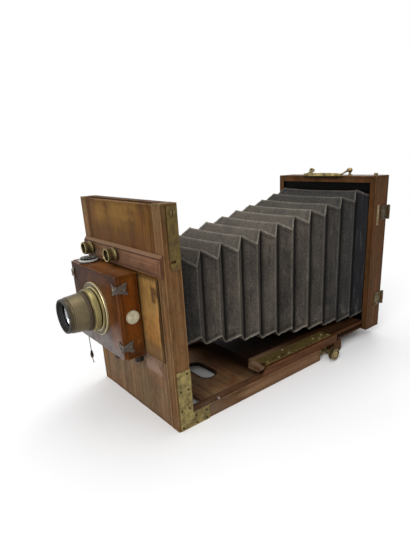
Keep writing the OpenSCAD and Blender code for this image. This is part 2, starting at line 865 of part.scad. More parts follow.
module cord_ferrule() {
  color("goldenrod") datum() translate(cord_exit) difference() {
    union() {
      cylinder(r = ferrule_r, h = box_wall);
      translate([0, 0, -0.6]) cylinder(r = ferrule_r + 0.4, h = 0.6);
    }
    translate([0, 0, -1]) cylinder(r = cord_r + 0.35, h = box_wall + 2);
  }
}

// A tube swept along points, with flat rings of eight sides
module swept_tube(points, r) {
  sides = 8;
  n = len(points);
  rings = [for (p = points, s = [0:sides - 1])
    p + r * [cos(360 * s / sides), sin(360 * s / sides), 0]];
  walls = [for (k = [0:n - 2], s = [0:sides - 1])
    let (a = k * sides + s, b = k * sides + (s + 1) % sides)
    each [[a, b, b + sides], [a, b + sides, a + sides]]];
  first = [for (s = [1:sides - 2]) [0, s + 1, s]];
  last = [for (s = [1:sides - 2]) let (e = (n - 1) * sides) [e, e + s, e + s + 1]];
  mirror([0, 0, 1]) polyhedron([for (p = rings) [p[0], p[1], -p[2]]], concat(walls, first, last));
}

module pull_cord() {
  start = [[0, 0, 1.5]];
  color("black") datum() swept_tube([for (p = concat(start, cord_route)) cord_exit + p], cord_r);
}

// A bead threaded on the cord, and the knot at the cord's end
module pull_bead() {
  bore = cord_r + 0.2;
  knot_r = cord_r + 0.55;
  low = cord_route[8] + [0, 0, 0.5];
  color("black") datum() {
    translate(cord_exit + low) rotate_extrude()
      polygon([[bore, 0], [bead_r * 0.7, 0], [bead_r, bead_len * 0.25], [bead_r, bead_len * 0.55],
               [bead_r * 0.6, bead_len], [bore, bead_len]]);
    translate(cord_end - [0, 0, knot_r + 0.02]) sphere(r = knot_r);
  }
}

module lens_flange() {
  lip = 1.2;
  color("goldenrod") datum() turned_y([
    [barrel_bore_r + 2, -lid_front], [flange_r, -lid_front], [flange_r, -flange_y - 0.5],
    [flange_r - 0.5, -flange_y], [collar_r + lip, -flange_y], [collar_r + lip, -flange_y + 0.8],
    [collar_r, -flange_y + 1.6], [collar_r, -collar_front - 1.6], [collar_r - 0.8, -collar_front],
    [barrel_bore_r + 2, -collar_front]]);
}

module lens_barrel() {
  neck_r = iris_ring_r - 2;
  glass_y = -barrel_front - hood_depth;
  color("darkkhaki") datum() turned_y([
    [barrel_bore_r, -lid_front - lid_t - 0.8], [barrel_bore_r + 2, -lid_front - lid_t - 0.8],
    [barrel_bore_r + 2, -collar_front], [neck_r, -collar_front], [neck_r, -iris_front],
    [barrel_r, -iris_front], [rim_r + 1, -barrel_front - 5], [rim_r + 0.5, -barrel_front - 4.6],
    [rim_r + 0.2, -barrel_front - 0.8], [rim_r - 0.5, -barrel_front], [rim_r - 1.4, -barrel_front],
    [barrel_bore_r, glass_y + 1.5], [barrel_bore_r - 1, glass_y + 1.5], [barrel_bore_r - 1, glass_y],
    [barrel_bore_r, glass_y]]);
}

module iris_ring() {
  color("dimgray") datum()
    tube_y(iris_ring_r, iris_ring_r - 2 + fit, [iris_front + 0.15, collar_front - 0.15]);
}

// Front and rear glasses with the thin iris plate between them
module lens_glasses() {
  front_y = -barrel_front - hood_depth;
  rear_y = -lid_front;
  middle = (front_y + rear_y) / 2;
  color("lightcyan") datum() {
    turned_y([[0, front_y - 5], [barrel_bore_r, front_y - 5], [barrel_bore_r, front_y],
              [barrel_bore_r - 1, front_y], [9, front_y + 0.8],
              [0, front_y + 1.3]]);
    turned_y([[0, rear_y - 1.3], [barrel_bore_r, rear_y], [barrel_bore_r, rear_y + 4], [0, rear_y + 4]]);
    turned_y([[iris_open_r, middle - 0.4], [barrel_bore_r, middle - 0.4], [barrel_bore_r, middle + 0.4],
              [iris_open_r, middle + 0.4]]);
  }
}

module strap(side) {
  x = half_front + slide_gap;
  notch_z = -strap_len + 7;
  color("darkkhaki") datum() mirrored(side) translate([x, strap_y, front_h - strap_screw_drop])
    rotate([90, 0, 90]) linear_extrude(strap_t) difference() {
      union() {
        translate([-strap_w / 2, -strap_len + strap_w / 2]) square([strap_w, strap_len + 6 - strap_w / 2]);
        translate([0, -strap_len + strap_w / 2]) circle(d = strap_w);
      }
      circle(r = strap_shank_r + fit);
      translate([-strap_w / 2 - 1, notch_z]) square([strap_w / 2, 2.4]);
      translate([-0.6, notch_z + 1.2]) circle(r = 1.2);
    }
}

module strap_left() {
  strap(-1);
}

module strap_right() {
  strap(1);
}

// Pinion outline: slim teeth with room on both flanks
module pinion_2d() {
  root = pinion_r - 1.2 * gear_module;
  tip = pinion_r + 0.85 * gear_module;
  circle(r = root, $fn = 48);
  for (k = [0:pinion_teeth - 1]) rotate(90 + 360 * k / pinion_teeth)
    polygon([[root * 0.8, -0.24 * pitch], [pinion_r, -0.19 * pitch], [tip, -0.09 * pitch],
             [tip, 0.09 * pitch], [pinion_r, 0.19 * pitch], [root * 0.8, 0.24 * pitch]]);
}

module focus_shaft() {
  color("darkgoldenrod") datum() translate([0, shaft_y, shaft_z]) {
    bar_x(shaft_r, 0, 0, [-rail_in - 7, shaft_end]);
    bar_x(shaft_r + 1.2, 0, 0, [half_front + 1, shaft_end]);
    bar_x(knob_r, 0, 0, [shaft_end, shaft_end + 1.4]);
    bar_x(knob_r - 0.8, 0, 0, [shaft_end + 1.4, shaft_end + knob_t - 1.4]);
    bar_x(knob_r, 0, 0, [shaft_end + knob_t - 1.4, shaft_end + knob_t]);
    both() translate([pinion_x - pinion_w / 2, 0, 0]) rotate([90, 0, 90])
      linear_extrude(pinion_w) pinion_2d();
  }
}

// A rack under the tailboard, its spaces centred over the pinion's tooth
module rack() {
  length = rack_teeth * pitch;
  x = [pinion_x - pinion_w / 2 - 0.5, pinion_x + pinion_w / 2 + 0.5];
  tip = rack_root - 2 * gear_module + 0.2;
  block(x, [rack_first_y, rack_first_y + length], [rack_root, tail_low]);
  for (k = [0:rack_teeth - 1]) translate([x[0], rack_first_y + (k + 0.5) * pitch, 0])
    rotate([90, 0, 90]) linear_extrude(x[1] - x[0])
      polygon([[-0.3 * pitch, rack_root + 0.01], [-0.12 * pitch, tip], [0.12 * pitch, tip],
               [0.3 * pitch, rack_root + 0.01]]);
}

module focus_racks() {
  color("goldenrod") datum() both() rack();
}

module tailboard() {
  groove = bead_depth + slide_gap;
  color("sienna") datum() difference() {
    union() {
      block([-tail_half, tail_half], [tail_front_y, back_y], [tail_low, tail_top]);
      both() block([tail_half - cleat_w, tail_half], [tail_front_y - cleat_out, tail_front_y],
                   [tail_top - cleat_t, tail_top]);
    }
    both() block([tail_half - groove, tail_half + 1], [tail_front_y - cleat_out - 1, back_y + 1],
                 [bead_z - slide_gap, bead_z + bead_h + slide_gap]);
  }
}

module runner_plates() {
  right = tail_half - plate_edge;
  middle = right - plate_w / 2;
  first = tail_front_y + 3;
  color("darkkhaki") datum() both() {
    difference() {
      block([right - plate_w, right], [first, first + plate_len], [tail_top, tail_top + plate_t]);
      for (y = [16, 32]) translate([middle, first + y, tail_top - 1]) linear_extrude(plate_t + 2)
        oblong(10, 2.6);
    }
    for (p = [[5, 5], [5, 24], [5, 41], [-5, 41], [0, 92], [5, 99], [0, 109], [5.5, 115]])
      translate([middle + p[0], first + p[1], tail_top + plate_t]) cylinder(r = 1.5, h = 0.4);
  }
}

module back_frame() {
  color("sienna") datum() {
    both() block([back_half - back_wall, back_half], [back_y, back_rear], [back_low, back_top]);
    block([-back_half + back_wall, back_half - back_wall], [back_y, back_rear], [back_top - back_wall, back_top]);
    block([-back_half + back_wall, back_half - back_wall], [back_y, back_rear],
          [back_low, back_low + back_rail_h]);
  }
}

module bellows_rear_ring() {
  lap = 5;
  color("saddlebrown") datum()
    four_boards(back_half - back_wall, [back_low + back_rail_h, back_top - back_wall],
                bellows_rear_x - lap,
                [bellows_rear_low + pleat_rear + lap, bellows_rear_top - pleat_rear - lap],
                [bellows_end, bellows_end + ring_t]);
}

// The fixed halves of the screen's hinges with their pins, the handle's studs and a small catch
module back_fittings() {
  third = hinge_h / 3;
  color("darkgoldenrod") datum() {
    for (z = [hinge_high_z, hinge_low_z]) translate([0, 0, z - hinge_h / 2]) {
      block([back_half, back_half + leaf_t], [back_rear - 15, back_rear], [0, hinge_h]);
      for (k = [0, 2]) difference() {
        union() {
          block([back_half, back_half + leaf_t], [back_rear, hinge_y], [k * third, (k + 1) * third]);
          translate([hinge_x, hinge_y, k * third]) cylinder(r = knuckle_r, h = third);
        }
        translate([hinge_x, hinge_y, -1]) cylinder(r = pin_r, h = hinge_h + 2);
      }
      translate([hinge_x, hinge_y, -0.5]) cylinder(r = pin_r, h = hinge_h + 1);
    }
    both() translate([stud_span / 2, bail_y, back_top]) difference() {
      union() {
        cylinder(r = 3.4, h = 1);
        cylinder(r = 1.7, h = ball_rise);
        translate([0, 0, ball_rise]) sphere(r = ball_r);
      }
      block([-ball_r - 1, -ball_flat], [-ball_r - 1, ball_r + 1], [ball_rise - ball_r, ball_rise + ball_r + 1]);
      bar_x(pivot_r + fit, 0, ball_rise, [-ball_r - 1, ball_r + 1]);
    }
    translate([back_half - 10, bail_y, back_top]) cylinder(r = 2.4, h = 3);
    block([back_half, back_half + 0.6], [back_y + 6, back_y + 10.5], [158, 184]);
  }
}

// A turned grip between two arms that swing on the studs
module carrying_handle() {
  half = stud_span / 2;
  eye_half = arm_r + 0.25;
  arm_x = half - ball_flat - 0.15 - eye_half;
  grip_z = bail_z - grip_drop;
  grip_y = bail_y - grip_back;
  reach = sqrt(grip_back * grip_back + grip_drop * grip_drop);
  tilt = atan2(grip_drop, grip_back);
  color("goldenrod") datum() {
    both() {
      bar_x(pivot_r, bail_y, bail_z, [arm_x, half + ball_r - 0.4]);
      bar_x(2.3, bail_y, bail_z, [arm_x - eye_half, arm_x + eye_half]);
      translate([arm_x, bail_y, bail_z]) rotate([90 + tilt, 0, 0]) cylinder(r = arm_r, h = reach);
    }
    bar_x(2.3, grip_y, grip_z, [-arm_x - eye_half, arm_x + eye_half]);
    bar_x(grip_r, grip_y, grip_z, [-arm_x + eye_half + 0.4, arm_x - eye_half - 0.4]);
  }
}

module screen_frame() {
  half = back_half - back_wall - slide_gap;
  low = back_low + back_rail_h + slide_gap;
  high = back_top - back_wall - slide_gap;
  member = screen_member;
  third = hinge_h / 3;
  color("sienna") datum() {
    four_boards(half, [low, high], half - member, [low + member, high - member], [screen_front, leaf_y]);
    for (z = [hinge_high_z, hinge_low_z]) translate([0, 0, z - hinge_h / 2]) {
      block([half - member, back_half - 1], [leaf_y, leaf_y + leaf_t], [0, hinge_h]);
      difference() {
        union() {
          block([back_half - 1, hinge_x], [leaf_y, leaf_y + leaf_t], [third + 0.2, 2 * third - 0.2]);
          translate([hinge_x, hinge_y, third + 0.2]) cylinder(r = knuckle_r, h = third - 0.4);
        }
        translate([hinge_x, hinge_y, -1]) cylinder(r = pin_r + fit, h = hinge_h + 2);
      }
    }
  }
}

module ground_glass() {
  half = back_half - back_wall - slide_gap - screen_member;
  low = back_low + back_rail_h + slide_gap + screen_member;
  high = back_top - back_wall - slide_gap - screen_member;
  middle = (screen_front + leaf_y) / 2;
  color("lightcyan") datum() block([-half, half], [middle - glass_t / 2, middle + glass_t / 2], [low, high]);
}

front_stile_left();
front_stile_right();
front_lower_board();
front_sill();
front_inner_frame();
corner_plate_left();
corner_plate_right();
plate_nails();
bed_rail_front_left();
bed_rail_front_right();
bed_rail_rear_left();
bed_rail_rear_right();
base_board();
tripod_bush();
guide_wall_left();
guide_wall_right();
rear_cross_block();
shaft_bearings();
strap_screws();
rail_pins();
bellows_front_ring();
bellows();
rising_board();
front_panel();
cross_bar();
lens_board();
thumbscrew_left();
thumbscrew_right();
shutter_case();
shutter_lid();
lid_clips();
side_disc();
slide_plate();
retaining_ring();
roller_axles();
blind_roller_left();
blind_roller_right();
shutter_blind();
setting_dial();
release_pin();
case_studs();
cord_ferrule();
pull_cord();
pull_bead();
lens_flange();
lens_barrel();
iris_ring();
lens_glasses();
strap_left();
strap_right();
focus_shaft();
tailboard();
runner_plates();
focus_racks();
back_frame();
bellows_rear_ring();
back_fittings();
carrying_handle();
screen_frame();
ground_glass();
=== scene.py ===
"""Looks of a wooden field camera: woods, brass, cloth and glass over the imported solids.

The file is laid out as an add-on and run as a script. Each operator makes one piece or a group of
like pieces, and the panel in the sidebar lists them.
"""

import math

import bmesh
import bpy
from bpy.props import FloatProperty, FloatVectorProperty, IntProperty, PointerProperty
from mathutils import Matrix, Vector, noise


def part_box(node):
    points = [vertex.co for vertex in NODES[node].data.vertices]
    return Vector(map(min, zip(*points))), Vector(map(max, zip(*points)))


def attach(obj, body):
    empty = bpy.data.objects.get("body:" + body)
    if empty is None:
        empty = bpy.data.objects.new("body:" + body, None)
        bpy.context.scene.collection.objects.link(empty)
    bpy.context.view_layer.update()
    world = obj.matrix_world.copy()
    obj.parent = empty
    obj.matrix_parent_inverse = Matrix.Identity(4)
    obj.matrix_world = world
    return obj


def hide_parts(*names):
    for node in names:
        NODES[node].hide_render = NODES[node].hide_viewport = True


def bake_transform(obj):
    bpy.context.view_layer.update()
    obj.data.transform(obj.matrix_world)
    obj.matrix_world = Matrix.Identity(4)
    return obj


bl_info = {
    "name": "Wooden Field Camera",
    "version": (1, 1, 0),
    "blender": (4, 5, 0),
    "location": "3D View > Sidebar > Field Camera",
    "description": "Dresses a field camera's solids in wood, brass, cloth and glass",
    "category": "Object",
}

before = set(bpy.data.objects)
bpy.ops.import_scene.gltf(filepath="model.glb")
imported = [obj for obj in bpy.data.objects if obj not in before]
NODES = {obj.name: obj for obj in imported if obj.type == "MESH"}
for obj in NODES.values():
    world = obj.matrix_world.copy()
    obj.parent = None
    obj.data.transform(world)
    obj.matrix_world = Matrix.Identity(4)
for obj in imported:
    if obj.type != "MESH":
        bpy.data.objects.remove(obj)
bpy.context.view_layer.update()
MM = 0.001
FRONT_Y = -0.150  # the front frame's front face, in metres from the middle of the tripod bush


def span(node):
    """A CAD node's lowest and highest corners, in millimetres from the front face."""
    return [[round((c - shift) / MM, 3) for c, shift in zip(corner, (0, FRONT_Y, 0))]
            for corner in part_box(node)]


def middle(node):
    """The middle of a CAD node's box, in millimetres from the front face."""
    return [round((low + high) / 2, 3) for low, high in zip(*span(node))]


# Places of the solids that other pieces are fitted to

LENS_X, LENS_Z = middle("lens_barrel")[::2]
(CASE_LEFT, CASE_FRONT, CASE_LOW), (CASE_RIGHT, _, CASE_TOP) = span("shutter_case")
LID_FRONT = span("shutter_lid")[0][1]
ROLLER_LEFT, ROLLER_Y = middle("blind_roller_left")[:2]
ROLLER_RIGHT = middle("blind_roller_right")[0]
BLIND_LOW, BLIND_HIGH = (corner[2] for corner in span("shutter_blind"))
BELLOWS_FRONT, BELLOWS_REAR = (corner[1] for corner in span("bellows"))
FIRST_FOLD = 24.2  # where the bellows' collar ends and its pleats begin
CREASE_SEED = 7  # keeps the bellows' small unevenness the same in every run
BAIL_Y, BAIL_Z = 329.25, 226.5  # the axis that the handle swings on
KNOB_AXIS = (0, 229, 8.95)  # a point of the focusing shaft's axis
STRAP_Y, STRAP_Z = middle("strap_screws")[1:]
HINGE_HEIGHTS = (173, 55)  # middles of the two hinges of the screen
CLIP_PROUD = 1.0  # from the wood to the outer face of a clip on it


def at(x, y, z):
    """A point given in millimetres from the middle of the front face's lower edge."""
    return Vector((x * MM, y * MM + FRONT_Y, z * MM))


def tone(red, green, blue):
    """A colour written in 0 to 255 screen values, as linear light."""
    return tuple(
        c / 3294.6 if c <= 10.31 else ((c / 255 + 0.055) / 1.055) ** 2.4
        for c in (red, green, blue)
    )


def shade(colour, amount):
    """A colour made darker, or lighter with an amount above 1."""
    return tuple(min(1.0, c * amount) for c in colour)


def smooth(points, parts):
    """Points on a smooth curve through the given ones."""
    points = [Vector(p) for p in points]
    ends = [2 * points[0] - points[1], *points, 2 * points[-1] - points[-2]]
    route = []
    for a, b, c, d in zip(ends, ends[1:], ends[2:], ends[3:]):
        for i in range(parts):
            t = i / parts
            route.append(0.5 * (2 * b + (c - a) * t + (2 * a - 5 * b + 4 * c - d) * t * t
                                + (3 * b - a - 3 * c + d) * t ** 3))
    return route + [points[-1]]


def between(stops, value):
    """A value read from pairs of place and amount, eased between them."""
    for (a, low), (b, high) in zip(stops, stops[1:]):
        if value <= b:
            t = max(0.0, (value - a) / (b - a))
            return low + (high - low) * t * t * (3 - 2 * t)
    return stops[-1][1]


# Shader trees


class Wire:
    """A socket of a shader tree. Arithmetic on it adds Math nodes."""

    def __init__(self, tree, socket):
        self.tree, self.socket = tree, socket

    def math(self, operation, *others):
        """A Math node on this value and others."""
        return self.tree.node("Math", {"operation": operation}, dict(enumerate((self,) + others)))

    def __add__(self, other):
        return self.math("ADD", other)

    __radd__ = __add__

    def __mul__(self, other):
        return self.math("MULTIPLY", other)

    __rmul__ = __mul__

    def __sub__(self, other):
        return self.math("SUBTRACT", other)

    def __rsub__(self, other):
        return self.tree.node("Math", {"operation": "SUBTRACT"}, {0: other, 1: self})

    def __truediv__(self, other):
        return self.math("DIVIDE", other)

    def __pow__(self, other):
        return self.math("POWER", other)

    def __abs__(self):
        return self.math("ABSOLUTE")

    def low(self, other):
        """The lower of two values."""
        return self.math("MINIMUM", other)

    def high(self, other):
        """The higher of two values."""
        return self.math("MAXIMUM", other)

    def clamp(self):
        """The value kept between 0 and 1."""
        return self.high(0.0).low(1.0)

    def step(self, start, end):
        """0 below start, 1 above end, smooth between; start may be above end."""
        values = {0: self, 1: start, 2: end, 3: 0.0, 4: 1.0}
        if start > end:
            values.update({1: end, 2: start, 3: 1.0, 4: 0.0})
        return self.tree.node("MapRange", {"interpolation_type": "SMOOTHSTEP"}, values)

    def band(self, start, end, soft):
        """1 between start and end."""
        return self.step(start - soft, start) * self.step(end + soft, end)


class Tree:
    """The nodes of a new material or world, with one method that adds any node."""

    def __init__(self, owner):
        self.owner = owner
        owner.use_nodes = True
        self.nodes, self.links = owner.node_tree.nodes, owner.node_tree.links
        self.nodes.clear()
        world = isinstance(owner, bpy.types.World)
        self.shell = self.nodes.new("ShaderNodeBackground" if world else "ShaderNodeBsdfPrincipled")
        self.out = self.nodes.new("ShaderNodeOutputWorld" if world else "ShaderNodeOutputMaterial")
        self.links.new(self.shell.outputs[0], self.out.inputs[0])

    def node(self, kind, settings=None, values=None, out=0):
        """A new node: its settings first, and then the values or links of its sockets."""
        made = self.nodes.new("ShaderNode" + kind)
        for key, value in (settings or {}).items():
            setattr(made, key, value)
        for key, value in (values or {}).items():
            self.feed(made.inputs[key], value)
        return Wire(self, made.outputs[out])

    def feed(self, socket, value):
        """Links a socket, or sets its value."""
        if isinstance(value, Wire):
            self.links.new(value.socket, socket)
        elif socket.type == "RGBA" and len(value) == 3:
            socket.default_value = (*value, 1)
        else:
            socket.default_value = value

    def set(self, **sockets):
        """Values or links for the shader; an underscore stands for a space."""
        for key, value in sockets.items():
            self.feed(self.shell.inputs[key.replace("_", " ")], value)

    def seen(self):
        """1 for rays from the camera, a gloss or a glass, and 0 for rays that only light."""
        kinds = ("Camera", "Glossy", "Transmission")
        camera, gloss, glass = (self.node("LightPath", out=f"Is {kind} Ray") for kind in kinds)
        return camera.high(gloss).high(glass)

    def place(self, scale=(1, 1, 1), shift=(0, 0, 0)):
        """The point on the object in metres, scaled and shifted."""
        if not hasattr(self, "origin"):
            self.origin = self.node("TexCoord", out="Object")
        scaled = self.node("VectorMath", {"operation": "MULTIPLY"}, {0: self.origin, 1: scale})
        return self.node("VectorMath", {"operation": "ADD"}, {0: scaled, 1: shift})

    def axes(self):
        """The point on the object in millimetres from the middle of the front face's lower edge."""
        if not hasattr(self, "split"):
            self.split = self.nodes.new("ShaderNodeSeparateXYZ")
            place = self.place((1000, 1000, 1000), (0, -FRONT_Y * 1000, 0))
            self.links.new(place.socket, self.split.inputs[0])
        return [Wire(self, s) for s in self.split.outputs]

    def reach(self, centre, axis):
        """Distance in millimetres from a line along an axis."""
        offsets = [p - c for i, (p, c) in enumerate(zip(self.axes(), centre)) if i != axis]
        return (offsets[0] * offsets[0] + offsets[1] * offsets[1]) ** 0.5

    def grain(self, scale, shift=(0, 0, 0), detail=3.0, rough=0.55, bend=0.0):
        """Noise with its own scale along each axis, about 0.5 in the middle."""
        values = {"Vector": self.place(scale, shift), "Scale": 1.0, "Detail": detail,
                  "Roughness": rough, "Distortion": bend}
        return self.node("TexNoise", values=values)

    def mark(self, name):
        """A number kept on each point of the mesh."""
        return self.node("Attribute", {"attribute_name": name}, out="Fac")

    def mix(self, share, first, second, kind="MIX"):
        """The second colour laid over the first by a share."""
        values = {0: share, 6: first, 7: second}
        return self.node("Mix", {"data_type": "RGBA", "blend_type": kind}, values, out=2)

    def grey(self, value):
        """A number as a grey colour, to multiply a colour with."""
        return self.node("CombineColor", values={0: value, 1: value, 2: value})

    def bump(self, height, depth, strength=1.0):
        """A Normal from a height of 0 to 1 that stands for depth, in metres."""
        return self.node("Bump", values={"Height": height, "Distance": depth, "Strength": strength})

    def edge(self, box):
        """Distance in millimetres to the nearest edge of a box, for a point on its surface."""
        x, y, z = [abs(p - a).low(abs(p - b)) for p, a, b in zip(self.axes(), box[0], box[1])]
        return x.low(y).high(x.high(y).low(z))


def material(name):
    """The tree of a new material."""
    return Tree(bpy.data.materials.new(name))


def wood(name, colour, grain=2, box=None, seed=0, contrast=0.42, sheen=0.0, rough=0.5, dirt=0.6,
         wear=0.6, paint=None):
    """Aged wood with its grain along an axis; the box's edges are rubbed and dirty.

    Paint is a function that lays more colours over the wood. Sheen is the share of clear coat, as a
    number or as a function that works it out.
    """
    t = material(name)
    shift = (seed * 1.37 % 7, seed * 2.11 % 5, seed * 0.73 % 9)
    body = tuple(max(c * 0.6, (c - 0.006) / 0.88) for c in colour)
    pale = tuple(c * (1 + contrast) * k for c, k in zip(body, (1.0, 1.03, 1.02)))
    deep = tuple(c * (1 - contrast) * k for c, k in zip(body, (1.0, 0.9, 0.84)))

    def along(across, lengthways):
        return tuple(lengthways if i == grain else across for i in range(3))

    streaks = t.grain(along(150, 6), shift, 5, 0.62, 0.5)
    lines = t.grain(along(620, 12), shift, 3, 0.6, 0.2)
    broad = t.grain(along(30, 7), shift, 3, 0.55, 1.0)
    pores = t.grain(along(3000, 130), shift, 2, 0.6)
    stain = t.grain((42, 42, 42), shift, 5, 0.64)
    scratch = t.grain(along(260, 900), shift, 2, 0.5, 0.3)
    share = (streaks - 0.5) * 1.1 + (lines - 0.5) * 1.3 + (broad - 0.5) * 1.5 + (stain - 0.5) * 1.3 + 0.5
    tint = t.mix(share.clamp(), deep, pale)
    tint = t.mix(1.0, tint, t.grey(pores.step(0.30, 0.52) * 0.26 + 0.74), "MULTIPLY")
    hue = t.grain((22, 22, 22), shift[::-1], 4, 0.6)
    tint = t.mix(hue.step(0.42, 0.6) * 0.5, tint, (1.14, 0.93, 0.8), "MULTIPLY")
    tint = t.mix(hue.step(0.58, 0.4) * 0.5, tint, (0.88, 0.98, 0.92), "MULTIPLY")
    fleck = t.grain(along(260, 110), shift, 3, 0.7)
    tint = t.mix(fleck.step(0.54, 0.68) * 0.42 * dirt, tint, shade(deep, 0.5))
    tint = t.mix(fleck.step(0.42, 0.30) * 0.30 * wear, tint, shade(pale, 1.3))
    grime = stain.step(0.50, 0.72) * dirt
    tint = t.mix(grime * 0.6, tint, shade(deep, 0.45))
    tint = t.mix(stain.step(0.42, 0.28) * 0.28 * wear, tint, shade(pale, 1.25))
    tint = t.mix(scratch.step(0.64, 0.72) * 0.35 * wear, tint, shade(pale, 1.6))
    if paint:
        tint = paint(t, tint)
    gloss = rough + (streaks - 0.5) * 0.2 + grime * 0.15
    if box:
        edge = t.edge(box) + (stain - 0.5) * 3.4 + (lines - 0.5) * 1.4
        rubbed = edge.step(0.95, 0.1) * wear
        tint = t.mix(rubbed * 0.8, tint, shade(pale, 1.55))
        dark = edge.step(6.0, 1.2) * (1 - rubbed) * 0.6 * dirt
        tint = t.mix(dark, tint, shade(deep, 0.4))
    height = lines * 0.4 + pores * 0.35 + streaks * 0.25
    t.set(Base_Color=tint, Roughness=gloss.clamp(), Normal=t.bump(height, 0.00022, 0.6),
          Coat_Weight=sheen(t) if callable(sheen) else sheen, Coat_Roughness=0.12,
          Specular_IOR_Level=0.035)
    return t.owner


def metal(name, bright, dull, rough=0.35, seed=0, spots=0.5, lines=None, depth=0.00006, paint=None,
          mottle=1.0):
    """Old metal: bright where it is rubbed, dull and mottled elsewhere, dark in its slots."""
    t = material(name)
    shift = (seed * 1.9 % 6, seed * 0.7 % 8, seed * 3.1 % 5)
    cloud = t.grain((160, 160, 160), shift, 5, 0.62)
    speck = t.grain((1300, 1300, 1300), shift, 3, 0.65)
    fine = t.grain(lines or (2600, 2600, 2600), shift, 2, 0.5)
    dulled = ((cloud - 0.5) * (2.6 * mottle) + (speck - 0.5) * mottle + (fine - 0.5) * 0.5 + spots).clamp()
    tint = t.mix(dulled, bright, dull)
    tint = t.mix(speck.step(0.60, 0.74) * (spots * mottle), tint, shade(dull, 0.35))
    if paint:
        tint = paint(t, tint)
    cut = t.mark("cut")
    tint = t.mix(cut * 0.85, tint, shade(dull, 0.12))
    t.set(Base_Color=tint, Roughness=(rough + dulled * 0.24 + (fine - 0.5) * 0.14 + cut * 0.3).clamp(),
          Metallic=1.0 - dulled * 0.3, Normal=t.bump(fine * 0.6 + speck * 0.4, depth, 0.7))
    return t.owner


def coated(name, dark, pale, rough=0.5, scale=(500, 500, 500), depth=0.00005, shine=0.3, paint=None):
    """A painted or plain surface with fine mottling."""
    t = material(name)
    cloud = t.grain(scale, (1, 4, 2), 5, 0.62)
    fine = t.grain(tuple(s * 6 for s in scale), (5, 2, 7), 3, 0.6)
    tint = t.mix(((cloud - 0.5) * 2.2 + (fine - 0.5) * 1.2 + 0.4).clamp(), dark, pale)
    if paint:
        tint = paint(t, tint)
    t.set(Base_Color=tint, Roughness=(rough + (cloud - 0.5) * 0.25).clamp(),
          Normal=t.bump(cloud * 0.5 + fine * 0.5, depth, 0.7), Specular_IOR_Level=shine)
    return t.owner


# Meshes


